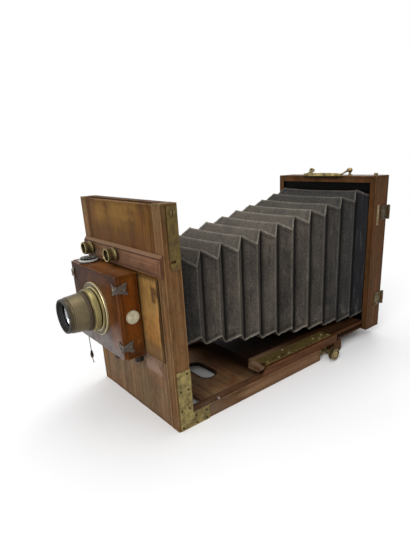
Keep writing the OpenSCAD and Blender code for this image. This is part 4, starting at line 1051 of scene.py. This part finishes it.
class MakeLens(bpy.types.Operator):
    """Flange, collar, iris ring, tapered barrel, hood and glasses"""

    bl_idname = "field_camera.lens"
    bl_label = "Lens"

    def execute(self, context):
        bright, olive = brasses(context)
        bronze = tuple(context.scene.field_metals.bronze)
        centre = (LENS_X, 0, LENS_Z)
        rings = (70, 2600, 70)  # the grain that turning leaves

        def rimmed(t, tint):
            """A dull plate with a bright rim that is a painted highlight, a bright step, a dark neck, and a
            pale collar with a dark end.
            """
            r = t.reach(centre, 1)
            y = t.axes()[1]
            plate = r.band(22.9, 26.6, 0.15) * y.step(-28.0, -27.6)
            tint = t.mix(plate * 0.75, tint, tone(62, 54, 38))
            # Painted highlight along the flange's rim.
            tint = t.mix(r.step(26.7, 27.2) * 0.85, tint, tone(226, 214, 170))
            tint = t.mix(r.band(22.3, 22.9, 0.12) * 0.7, tint, tone(196, 182, 130))
            tint = t.mix(y.band(-28.4, -27.5, 0.2) * r.step(22.2, 21.8) * 0.85, tint, tone(24, 20, 12))
            tint = t.mix(y.band(-33.9, -29.0, 0.3) * r.step(22.0, 21.8) * 0.6, tint, tone(196, 186, 128))
            return t.mix(y.step(-34.3, -34.7) * 0.6, tint, tone(44, 38, 24))

        seat, bore = 16.6, 14.6  # radii of the flange's seat and of the barrel's bore
        flange = [(seat, LID_FRONT), (27.4, LID_FRONT), (27.4, -25.9), (27.1, -26.3), (26.2, -26.3),
                  (25.9, -25.9), (23.2, -25.9), (22.8, -26.3), (22.8, -27.0), (21.6, -27.5),
                  (21.1, -27.9), (21.1, -28.5), (21.6, -28.9), (21.6, -33.8), (21.3, -34.1),
                  (21.3, -34.5), (21.5, -34.7), (21.2, -35.4), (20.9, -35.6), (seat, -35.6),
                  (seat, LID_FRONT)]
        finish = metal("flange brass", bright, olive, 0.28, 21, 0.52, rings, 0.00002, rimmed, 0.25)
        form = Form().lathe(flange, centre, 1, 160)
        form.build("lens_flange_turned", "cross_front", finish, "bright_brass", ("lens_flange",), angle=28)
        inner, crest = 17.83, 19.7
        iris = [(inner, -35.75), (19.5, -35.75), (crest, -36.0), (crest, -37.3), (19.35, -37.5),
                (19.35, -37.8), (crest, -38.0), (crest, -39.2), (19.5, -39.45), (inner, -39.45),
                (inner, -35.75)]
        milled = {2: 0.22, 3: 0.22, 6: 0.22, 7: 0.22}
        finish = metal("iris ring metal", tone(112, 98, 80), tone(62, 52, 42), 0.42, 22, 0.5, rings,
                       mottle=0.5)
        form = Form().lathe(iris, centre, 1, 200, milled)
        form.build("iris_ring_milled", "iris_ring", finish, "dark_steel", ("iris_ring",), angle=25)
        tube = [(bore, -20.5), (seat, -20.5), (seat, -35.6), (17.7, -35.6), (17.7, -39.6), (19.2, -39.6),
                (19.4, -39.8), (18.15, -53.0), (17.95, -53.1), (17.95, -53.3), (18.08, -53.45),
                (17.6, -54.0), (17.38, -57.0), (17.1, -57.1), (bore, -57.1)]

        def banded(t, tint):
            """A dark line and a paler stretch at the ring, a dark front groove and a darker front end."""
            y = t.axes()[1]
            tint = t.mix(y.band(-53.4, -52.9, 0.12) * 0.8, tint, tone(36, 30, 20))
            tint = t.mix(y.step(-53.6, -54.1) * 0.7, tint, tone(50, 44, 34))
            tint = t.mix(y.band(-39.9, -39.5, 0.15) * 0.8, tint, tone(28, 22, 14))
            return t.mix(y.step(-40.4, -39.9) * 0.35, tint, tone(160, 144, 104))

        finish = metal("barrel bronze", bronze, shade(bronze, 0.5), 0.32, 23, 0.42, rings, 0.00007,
                       banded, 0.45)
        form = Form().lathe(tube, centre, 1, 160)
        form.build("lens_barrel_turned", "cross_front", finish, "worn_brass", ("lens_barrel",), angle=28)
        hood = [(17.3, -57.1), (17.3, -57.8), (17.0, -58.3), (16.6, -58.6), (15.9, -58.6), (15.6, -58.2),
                (15.5, -57.0), (15.25, -56.9), (15.2, -55.6), (14.95, -55.5), (14.9, -54.1), (14.55, -54.0),
                (14.55, -52.6)]

        def chipped_and_highlighted(t, tint):
            """Grey painted highlights on the inner steps, broken up by chips, and brassy chips at the outer
            edge.
            """
            r, chips = t.reach(centre, 1), t.grain((700, 700, 700), (1, 2, 3), 3, 0.6)
            y = t.axes()[1]
            rear, mid, fore = (y.band(place - 0.1, place, 0.12) for place in (-54.0, -55.5, -56.9))
            steps = fore.high(mid).high(rear)
            # Painted highlights on the inner steps.
            tint = t.mix(steps * chips.step(0.3, 0.55) * 0.7, tint, tone(108, 106, 100))
            return t.mix(r.step(16.5, 17.2) * chips.step(0.5, 0.66) * 0.6, tint, tone(120, 108, 80))

        black = coated("hood black", tone(10, 10, 11), tone(26, 25, 25), 0.5, (300, 300, 300), 0.00004,
                       0.5, chipped_and_highlighted)
        form = Form().lathe(hood, centre, 1, 160)
        form.build("lens_hood_black", "cross_front", black, "worn_brass", angle=25)
        self.glasses(centre)
        return {"FINISHED"}

    def glasses(self, centre):
        """Front and rear glass, and the iris leaves between them."""
        radius, opening, leaf_y, count = 14.5, 6.1, -37.0, 12

        def lens(front, bulge, edge):
            """Outline of one glass; a bulge below 0 makes its front hollow."""
            dome = [(radius * i / 16, front - bulge * (1 - (i / 16) ** 2)) for i in range(17)]
            return [(0, edge), (radius, edge), *reversed(dome)]

        t = material("lens glass")
        smear = t.grain((240, 240, 240), (3, 3, 3), 4, 0.6)
        t.set(Base_Color=(0.80, 0.86, 0.90), Roughness=smear.step(0.5, 0.8) * 0.08 + 0.01, IOR=1.9,
              Transmission_Weight=1.0, Metallic=0.26)
        form = Form().lathe(lens(-53.2, -3.8, -45.0), centre, 1, 96)
        form.lathe(lens(-25.6, 1.0, -21.4), centre, 1, 96)
        form.build("lens_glasses_ground", "cross_front", t.owner, "glass", ("lens_glasses",), angle=60)
        leaves = Form()
        for i in range(count):
            a, b = 2 * math.pi * i / count, 2 * math.pi * (i + 1.9) / count
            arc = [a + (b - a) * k / 8 for k in range(9)]
            rim = [(opening, v) for v in arc] + [(radius, v) for v in reversed(arc)]
            outline = [(LENS_X + r * math.cos(v), LENS_Z + r * math.sin(v)) for r, v in rim]
            y = leaf_y - 0.06 * (i % 2)
            leaves.slab(outline, (y, y - 0.05), 1)
        blades = metal("iris leaves", tone(40, 40, 42), tone(18, 18, 20), 0.45, 25, 0.4)
        leaves.build("iris_leaves", "cross_front", blades, "dark_steel", angle=30)


class MakeThumbscrews(bpy.types.Operator):
    """Two hollow-headed thumbscrews in the cross bar"""

    bl_idname = "field_camera.thumbscrews"
    bl_label = "Thumbscrews"

    def execute(self, context):
        bright, olive = brasses(context)
        outline = [(0, 5.5), (2, 5.5), (2, 0), (3.9, 0), (3.9, -1.4), (6.4, -2.0), (6.8, -2.4), (6.8, -3.4),
                   (6.3, -3.8), (5.9, -4.2), (5.7, -5.0), (5.7, -7.0), (5.9, -7.6), (6.3, -8.0), (6.5, -8.4),
                   (6.5, -10.6), (6.2, -11), (5.5, -11), (5.1, -10.5), (4.8, -8.3), (4.3, -8.0), (2.2, -8.0),
                   (2.0, -8.7), (1.4, -9.0), (0, -9.0)]
        milled = {6: 0.3, 7: 0.3, 14: 0.25, 15: 0.25}
        for side, x in (("left", -54), ("right", -1)):
            centre = (x, -4.0, 165.45)

            def hollow(t, tint, centre=centre):
                """Painted shade inside the hollow head, a painted highlight on its front rim, and a paler
                tip.
                """
                r, y = t.reach(centre, 1), t.axes()[1]
                # Painted shade inside the hollow.
                tint = t.mix(r.step(5.3, 4.9) * y.step(-11.6, -12.0) * 0.85, tint, tone(26, 22, 14))
                tint = t.mix(r.step(2.3, 1.9) * 0.5, tint, tone(120, 104, 62))
                # Painted highlight on the front rim.
                return t.mix(r.band(5.5, 6.1, 0.15) * y.step(-14.6, -14.9) * 0.8, tint, tone(168, 150, 100))

            finish = metal(side + " thumbscrew brass", bright, olive, 0.24, 31 + x, 0.7, (60, 2400, 60),
                           0.00008, hollow, 0.5)
            node = "thumbscrew_" + side
            form = Form().lathe(outline, centre, 1, 112, milled)
            form.build(node + "_milled", node, finish, "bright_brass", (node,), angle=26)
        return {"FINISHED"}


class MakeBellows(bpy.types.Operator):
    """Pleated cloth between the front and the back"""

    bl_idname = "field_camera.bellows"
    bl_label = "Bellows"

    def execute(self, context):
        s = context.scene.field_bellows
        self.half, self.rear, self.count = s.front_half / MM, s.rear_half / MM, 2 * s.pleats
        noise.seed_set(CREASE_SEED)
        rows, marks = [], []
        run = BELLOWS_REAR - FIRST_FOLD
        cuts = [0, 0.02, 0.045, 0.08, 0.13, 0.2, 0.3, 0.4, 0.5, 0.6, 0.7, 0.8, 0.87, 0.92, 0.955, 0.98]
        stations = [self.station(k) for k in range(self.count + 1)]
        plan = [(BELLOWS_FRONT, stations[0], stations[0], 0.0, 0)]
        for k in range(self.count):
            plan += [(FIRST_FOLD + (k + u) * run / self.count, stations[k], stations[k + 1], u, k)
                     for u in cuts]
        plan.append((BELLOWS_REAR, stations[-1], stations[-1], 0.0, self.count))
        for y, a, b, u, k in plan:
            w = self.rounded(u)
            x, top, low = (p + (q - p) * w for p, q in zip(a, b))
            row, found = self.ring(x, y, top, low, k, u)
            rows.append(row)
            marks += found
        # worn is wear on the ridges; dark and shade_lines are painted shade; flank is 1 on the upright sides.
        named = {key: [m[i] for m in marks] for i, key in enumerate(("worn", "dark", "shade_lines", "flank"))}
        form = Form().grid(rows, closed=True, **named)
        piece = form.build("bellows_cloth", None, self.cloth(), "bellows_cloth", ("bellows",), angle=50,
                           thick=s.cloth / MM)
        at(0, BELLOWS_FRONT, 110)
        at(0, BELLOWS_REAR, 110)
        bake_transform(piece)
        return {"FINISHED"}

    def station(self, k):
        """Half width, top and bottom where the folds turn: odd ones stand up, even ones out."""
        t = k / self.count
        out = self.half + (self.rear - self.half) * t * t
        top = 161 + 45 * t - 22 * t * (1 - t)
        low = 72 - 43.5 * t - 40 * t * (1 - t)
        depth = 12 - 3 * t if k else 4
        jog = [noise.noise(Vector((k * 1.7, i * 5.3, 0.4))) for i in range(3)]
        if k in (0, self.count):
            jog = [0, 0, 0]
        if k % 2:
            return out - depth + jog[0], top + jog[1] * 0.8 - 0.4, low + jog[2] * 0.8 + 0.4
        return out - 0.5 + jog[0] * 0.5, top - depth + jog[1] * 0.8, low + depth + jog[2] * 0.8

    def rounded(self, u, r=0.05):
        """A straight run with short curves at the folds."""
        v = min(u, 1 - u)
        w = (v * v + r * r) / (2 * r) if v < r else v
        w = (w - r / 2) / (1 - r)
        return w if u < 0.5 else 1 - w

    def ring(self, x, y, top, low, k, u):
        """One section's points, and at each how worn and upright the cloth is and how much painted shade it
        gets in the folds that go in and in lines near the corners and rib ends.
        """
        points, marks = [], []
        pleat = (BELLOWS_REAR - FIRST_FOLD) / self.count
        near = min(u, 1 - u) * pleat
        odd = (k + (u > 0.5)) % 2
        # Near odd folds the top stands up and the sides fold in; near even folds the sides stand out and the
        # top folds in. The folds that go in get painted shade.
        up = math.exp(-((near / 1.35) ** 2)) if odd else 0.0
        valley_shade = math.exp(-((near / 2.3) ** 2)) if odd else 0.0
        out = 0.0 if odd else math.exp(-((near / 0.8) ** 2))
        fixed = k in (0, self.count) and u == 0
        held = fixed or y < 25 or y > 316
        rear = max(0.0, (k - 14) / 8)
        middle = math.sin(math.pi * u)
        edge = [0.0, 0.6, 1.3, 2.2, 3.3, 4.4, 5.6, 6.6, 8.0]
        high, wide = top - low, 2 * x
        rises = edge + [8 + (high - 16) * i / 15 for i in range(1, 15)] + [high - e for e in edge[::-1]]
        runs = edge[1:] + [8 + (wide - 16) * i / 13 for i in range(1, 13)] + [wide - e for e in edge[:0:-1]]

        def put(px, pz, side, gap, run=0.0):
            """One point, a gap away from the nearest corner, drawn in and creased like cloth."""
            jig = noise.noise_vector(Vector((px, y, pz)) * 0.06)
            crease = noise.noise(Vector((px * 0.12, y * 0.22, pz * 0.035))) * 0.55 * middle * min(1, gap / 6)
            shift = jig * (0.3 + 1.0 * rear * math.exp(-gap / 10))
            if held:
                shift, crease = Vector(), 0.0
            card = 0.35 * middle if gap > 6 else 0.0
            bow = middle * min(1, gap / 22)
            if side in ("right", "left"):
                px += (1 if side == "right" else -1) * (card + crease - bow * 0.5)
            else:
                sag = 1.0 * math.sin(math.pi * run) if side == "top" else -0.7 * math.sin(math.pi * run)
                pz += (1 if side == "top" else -1) * (card + crease) - sag
            if not held:
                roll = 0.55 * math.exp(-((gap / 1.2) ** 2)) * (1 + noise.noise(Vector((px, y, pz)) * 0.3))
                px += math.copysign(roll, px) if gap < 3 else 0.0
                pz += roll if pz > 110 else -roll
            points.append((px + shift.x, y + shift.y * 0.6, pz + shift.z))
            corner = math.exp(-((gap / 1.5) ** 2))
            # Painted shade lines a little way in from each corner and where the ribs end.
            rim = max(math.exp(-(((gap - 5.6) / 0.55) ** 2)) * middle, math.exp(-(((gap - 3.3) / 0.8) ** 2)))
            if side in ("top", "bottom"):
                marks.append((max(corner, up), out * 0.9, rim * 0.8, 0.0))
            else:
                marks.append((max(corner, out * 0.32), valley_shade, rim, 1.0))

        for r in runs:
            put(-x + r, low, "bottom", min(r, wide - r), r / wide)
        for rise in rises:
            put(x, low + rise, "right", min(rise, high - rise))
        for r in runs:
            put(x - r, top, "top", min(r, wide - r), r / wide)
        for rise in rises:
            put(-x, top - rise, "left", min(rise, high - rise))
        return points, marks

    def cloth(self):
        """Worn cloth: painted light on the top and bottom faces, darker at the rear, rubbed ridges, painted
        shade in the folds and painted shade lines near the corners and rib ends.
        """
        t = material("bellows cloth")
        _, y, z = t.axes()
        rear = y.step(190, 300)
        last = y.step(296, 306)
        front = y.step(70, 30)
        flank = t.mark("flank")
        cloud = t.grain((26, 26, 15), (3, 1, 2), 5, 0.62, 0.5)
        blot = t.grain((85, 85, 50), (7, 2, 5), 5, 0.68)
        streak = t.grain((330, 330, 22), (1, 8, 5), 4, 0.6, 0.4)
        weave = t.grain((3000, 3000, 1600), (0, 0, 0), 2, 0.5)
        share = ((cloud - 0.5) * 2.4 + (blot - 0.5) * 1.2 + 0.5).clamp()
        tint = t.mix(share, tone(50, 46, 43), tone(86, 79, 71))
        # Painted light: the top and bottom faces are paler than the flanks.
        tint = t.mix((1 - flank) * 0.5, tint, tone(104, 98, 90))
        tint = t.mix(rear * 0.8, tint, tone(40, 41, 41))
        tint = t.mix(last * 0.7, tint, tone(26, 27, 33))
        tint = t.mix(front * flank * 0.35, tint, tone(54, 60, 62))
        tint = t.mix(streak.step(0.55, 0.7) * 0.3, tint, tone(100, 93, 84))
        tint = t.mix(streak.step(0.45, 0.32) * 0.35, tint, tone(30, 28, 27))
        low = (z + y * 0.12).step(100, 78) * blot.step(0.5, 0.66) * flank
        tint = t.mix(low * 0.2, tint, tone(120, 114, 106))
        # Painted shade in the folds that go in.
        tint = t.mix(t.mark("dark") * 0.95, tint, tone(9, 9, 9))
        # Painted shade lines near the corners and the rib ends.
        tint = t.mix(t.mark("shade_lines") * 0.6, tint, tone(26, 24, 22))
        rubbed = (t.mark("worn") * (blot * 2.2 - 0.2)).clamp() * (1 - rear * 0.55)
        tint = t.mix(rubbed * 0.75, tint, tone(138, 131, 119))
        pits = t.grain((520, 520, 420), (6, 3, 1), 3, 0.7)
        tint = t.mix(1.0, tint, t.grey(weave * 0.4 + 0.78), "MULTIPLY")
        tint = t.mix(1.0, tint, t.grey(pits.step(0.3, 0.7) * 0.5 + 0.74), "MULTIPLY")
        height = weave * 0.2 + blot * 0.3 + streak * 0.3 + pits * 0.2
        t.set(Base_Color=tint, Roughness=0.88 - rubbed * 0.1, Normal=t.bump(height, 0.0007, 0.6),
              Specular_IOR_Level=0.12)
        return t.owner


class MakeBrasswork(bpy.types.Operator):
    """Straps, plates, nails, screws, racks and the focusing shaft"""

    bl_idname = "field_camera.brasswork"
    bl_label = "Brasswork"

    def execute(self, context):
        bright, olive = brasses(context)

        def screwed(t, tint):
            """Screw heads painted pale as highlights, on dirty plates."""
            z = t.axes()[2]
            # Painted highlight: the screw heads above the plates are pale.
            tint = t.mix(z.step(27.05, 27.2), tint, tone(190, 178, 140))
            rim = t.grain((90, 90, 90), (2, 2, 2), 4, 0.6)
            return t.mix(rim.step(0.55, 0.68) * z.step(27.1, 27.0) * 0.5, tint, tone(38, 32, 20))

        def knob(t, tint):
            """A dark waist and rings on the knob's face."""
            x, r = t.axes()[0], t.reach(KNOB_AXIS, 0)
            tint = t.mix(x.band(88.4, 91.6, 0.2) * 0.6, tint, tone(40, 34, 22))
            tint = t.mix(r.band(4.2, 4.8, 0.2) * x.step(92.6, 92.9) * 0.8, tint, tone(30, 26, 16))
            return t.mix(r.band(1.9, 3.4, 0.2) * x.step(92.6, 92.9) * 0.6, tint, tone(190, 166, 110))

        plate = (tone(158, 142, 90), tone(84, 70, 42), 0.42, 0.42)
        strap = (tone(112, 94, 54), tone(74, 60, 34), 0.42, 0.5)
        finishes = {
            "corner_plate_left": plate,
            "corner_plate_right": plate,
            "plate_nails": (tone(76, 62, 42), tone(30, 24, 17), 0.5, 0.6),
            "tripod_bush": (bright, olive, 0.3, 0.4),
            "shaft_bearings": (bright, olive, 0.35, 0.5),
            "rail_pins": (tone(206, 202, 192), tone(130, 126, 118), 0.35, 0.35),
            "retaining_ring": (bright, olive, 0.35, 0.5),
            "cord_ferrule": (bright, olive, 0.3, 0.4),
            "roller_axles": (tone(180, 178, 172), tone(110, 106, 100), 0.3, 0.4),
            "strap_left": strap,
            "strap_right": strap,
            "focus_shaft": (tone(150, 130, 84), tone(60, 50, 30), 0.34, 0.55, knob),
            "runner_plates": (tone(150, 130, 74), tone(84, 69, 36), 0.4, 0.45, screwed),
            "focus_racks": (bright, olive, 0.35, 0.5),
        }
        for seed, (node, (shown, dull, rough, spots, *paint)) in enumerate(finishes.items()):
            finish = metal(node + " metal", shown, dull, rough, seed + 41, spots,
                           paint=paint[0] if paint else None)
            dress(node, finish, 0.15)
        self.heads(bright, olive)
        return {"FINISHED"}

    def heads(self, bright, olive):
        """The screws that the straps swing on, and the milled rims of the knob."""
        brass = metal("screw brass", bright, olive, 0.28, 61, 0.4)
        (left, _, _), (right, _, _) = span("strap_screws")
        straps = Form()
        for side, reach in ((1, right), (-1, -left)):
            foot, neck = (side * 73, STRAP_Y, STRAP_Z), (side * (reach - 1.1), STRAP_Y, STRAP_Z)
            straps.tube([foot, neck], 1.25, 24)
            straps.screw(neck, (side, 0, 0), 2.6, 1.0, 0.7)
        worn = metal("strap screw brass", tone(128, 108, 68), tone(58, 47, 28), 0.4, 62, 0.55)
        straps.build("strap_screws_slotted", "bed", worn, "bright_brass", ("strap_screws",), angle=28)
        rims = Form()
        inner, outer = 7.0, 7.45
        for low in (87.0, 91.6):
            ring = [(inner, low + 0.02), (outer, low + 0.1), (outer, low + 1.3), (inner, low + 1.38)]
            rims.lathe(ring, KNOB_AXIS, 0, 120, {1: 0.22, 2: 0.22})
        rims.build("knob_rims", "focus_shaft", brass, "worn_brass", angle=25)


class MakeBack(bpy.types.Operator):
    """Hinges, handle and focusing screen of the back"""

    bl_idname = "field_camera.back"
    bl_label = "Back fittings"

    def execute(self, context):
        bright, olive = brasses(context)

        def aged(t, tint):
            """Dark hinges, the lower one paler, and a pale catch plate."""
            x, y, z = t.axes()
            low, catch = z.step(80, 70), y.step(326, 325) * z.step(150, 156) * z.step(190, 186)
            tint = t.mix(x.step(81, 82) * (1 - low) * (1 - catch) * 0.8, tint, tone(48, 38, 28))
            tint = t.mix(x.step(81, 82) * low * 0.7, tint, tone(70, 60, 44))
            return t.mix(catch * x.step(81, 81.4) * z.step(158, 172) * 0.6, tint, tone(126, 114, 88))

        dress("back_fittings", metal("fittings brass", bright, olive, 0.34, 71, 0.55, paint=aged), 0.12)
        leaves, screws = Form(), Form()
        rear = span("screen_frame")[1][1]
        plate_x, plate_y = (58.6, 80.6), (rear - 3.8 - 0.05, rear - 2.8 + 0.05)
        for z in HINGE_HEIGHTS:
            leaves.block(plate_x, plate_y, (z - 9.04, z + 9.04))
            leaves.block((80.5, 82.4), plate_y, (z - 2.84, z + 2.84))
            for x in (63, 70.5, 77):
                for rise in (5.6, -5.6):
                    screws.screw((x, plate_y[1], z + rise), (0, 1, 0), 1.5, 0.45, z + rise * 0.7 + x)
        worn = metal("leaf brass", shade(bright, 0.7), olive, 0.36, 74, 0.6)
        leaves.build("screen_hinge_leaves", "screen", worn, "worn_brass", soft=0.15)
        screws.build("screen_leaf_screws", "screen", worn, "worn_brass", angle=28)
        heads = Form()
        for z in HINGE_HEIGHTS:
            for y, rise in ((331.8, 6), (331.8, -6), (338.5, 5.4), (338.5, -5.4)):
                heads.screw((82.45, y, z + rise), (1, 0, 0), 1.35, 0.4, z + rise * 0.3)
        dark = metal("hinge screws", tone(60, 50, 36), tone(22, 17, 11), 0.45, 72, 0.5)
        heads.build("hinge_screws", "back_carriage", dark, "worn_brass", angle=28)
        self.handle(bright, olive)
        glass = material("frosted pane")
        frost = glass.grain((1400, 1400, 1400), (0, 0, 0), 3, 0.6)
        glass.set(Base_Color=glass.mix(frost, (0.66, 0.69, 0.68), (0.86, 0.89, 0.88)),
                  Roughness=0.45 + frost * 0.2, Normal=glass.bump(frost, 0.00005, 0.5),
                  Transmission_Weight=0.6)
        dress("ground_glass", glass.owner, 0)
        return {"FINISHED"}

    def handle(self, bright, olive):
        """A turned grip, tapered arms and the eyes that swing on the ball studs."""
        form = Form()
        grip_y, grip_z, arm_x = 311.0, 221.0, 29.7
        grip = [(0, 27.7), (2.2, 27.7), (2.6, 27.2), (2.6, 26.0), (2.1, 25.4), (2.1, 24.8), (2.75, 24.2),
                (2.95, 22.0), (3.0, 14.0), (3.0, 0.0)]
        outline = grip + [(r, -x) for r, x in reversed(grip[:-1])]
        form.lathe(outline, (0, grip_y, grip_z), 0, 48)
        half_eye = [(0, 1.55), (1.7, 1.55), (2.2, 1.15), (2.3, 0.4)]
        eye = half_eye + [(r, -x) for r, x in reversed(half_eye)]
        for side in (-1, 1):
            form.lathe(eye, (side * arm_x, BAIL_Y, BAIL_Z), 0, 40)
            form.lathe(eye, (side * arm_x, grip_y, grip_z), 0, 40)
            form.tube([(side * 27.0, grip_y, grip_z), (side * 30.0, grip_y, grip_z)], 1.9, 20)
            form.tube([(side * 30.5, BAIL_Y, BAIL_Z), (side * 35.4, BAIL_Y, BAIL_Z)], 0.9, 16)
            start, end = Vector((side * arm_x, BAIL_Y, BAIL_Z)), Vector((side * arm_x, grip_y, grip_z))
            route = [start.lerp(end, i / 12) for i in range(13)]
            waist = [1.55 - 0.4 * math.sin(math.pi * i / 12) for i in range(13)]
            form.tube(route, waist, 16)

        def lined(t, tint):
            """A dark groove near each end of the grip."""
            return t.mix(abs(t.axes()[0]).band(24.9, 25.5, 0.2) * 0.8, tint, tone(50, 40, 20))

        finish = metal("handle brass", shade(bright, 0.95), shade(olive, 1.2), 0.3, 73, 0.45,
                       (900, 90, 90), paint=lined)
        form.build("carrying_handle_turned", "handle", finish, "bright_brass", ("carrying_handle",), angle=30)


# Panel and run

OPERATORS = (MakeStage, MakeCord, MakeWoodwork, MakeShutter, MakeBlind, MakeDial, MakeLens,
             MakeThumbscrews, MakeBellows, MakeBrasswork, MakeBack)


class FieldCameraPanel(bpy.types.Panel):
    """The field camera's pieces"""

    bl_idname = "VIEW3D_PT_field_camera"
    bl_label = "Field Camera"
    bl_space_type = "VIEW_3D"
    bl_region_type = "UI"
    bl_category = "Field Camera"

    def draw(self, context):
        for operator in OPERATORS:
            self.layout.operator(operator.bl_idname)
        for name, group in SETTINGS.items():
            box = self.layout.box()
            for key in group.__annotations__:
                box.prop(getattr(context.scene, name), key)


def register():
    """Adds the settings, the operators and the panel."""
    for name, group in SETTINGS.items():
        bpy.utils.register_class(group)
        setattr(bpy.types.Scene, name, PointerProperty(type=group))
    for item in (*OPERATORS, FieldCameraPanel):
        bpy.utils.register_class(item)


def unregister():
    """Takes away what register adds."""
    for item in reversed((*OPERATORS, FieldCameraPanel)):
        bpy.utils.unregister_class(item)
    for name, group in SETTINGS.items():
        delattr(bpy.types.Scene, name)
        bpy.utils.unregister_class(group)


def main():
    """Makes every piece."""
    register()
    for operator in OPERATORS:
        family, name = operator.bl_idname.split(".")
        getattr(getattr(bpy.ops, family), name)()


if __name__ == "__main__":
    main()
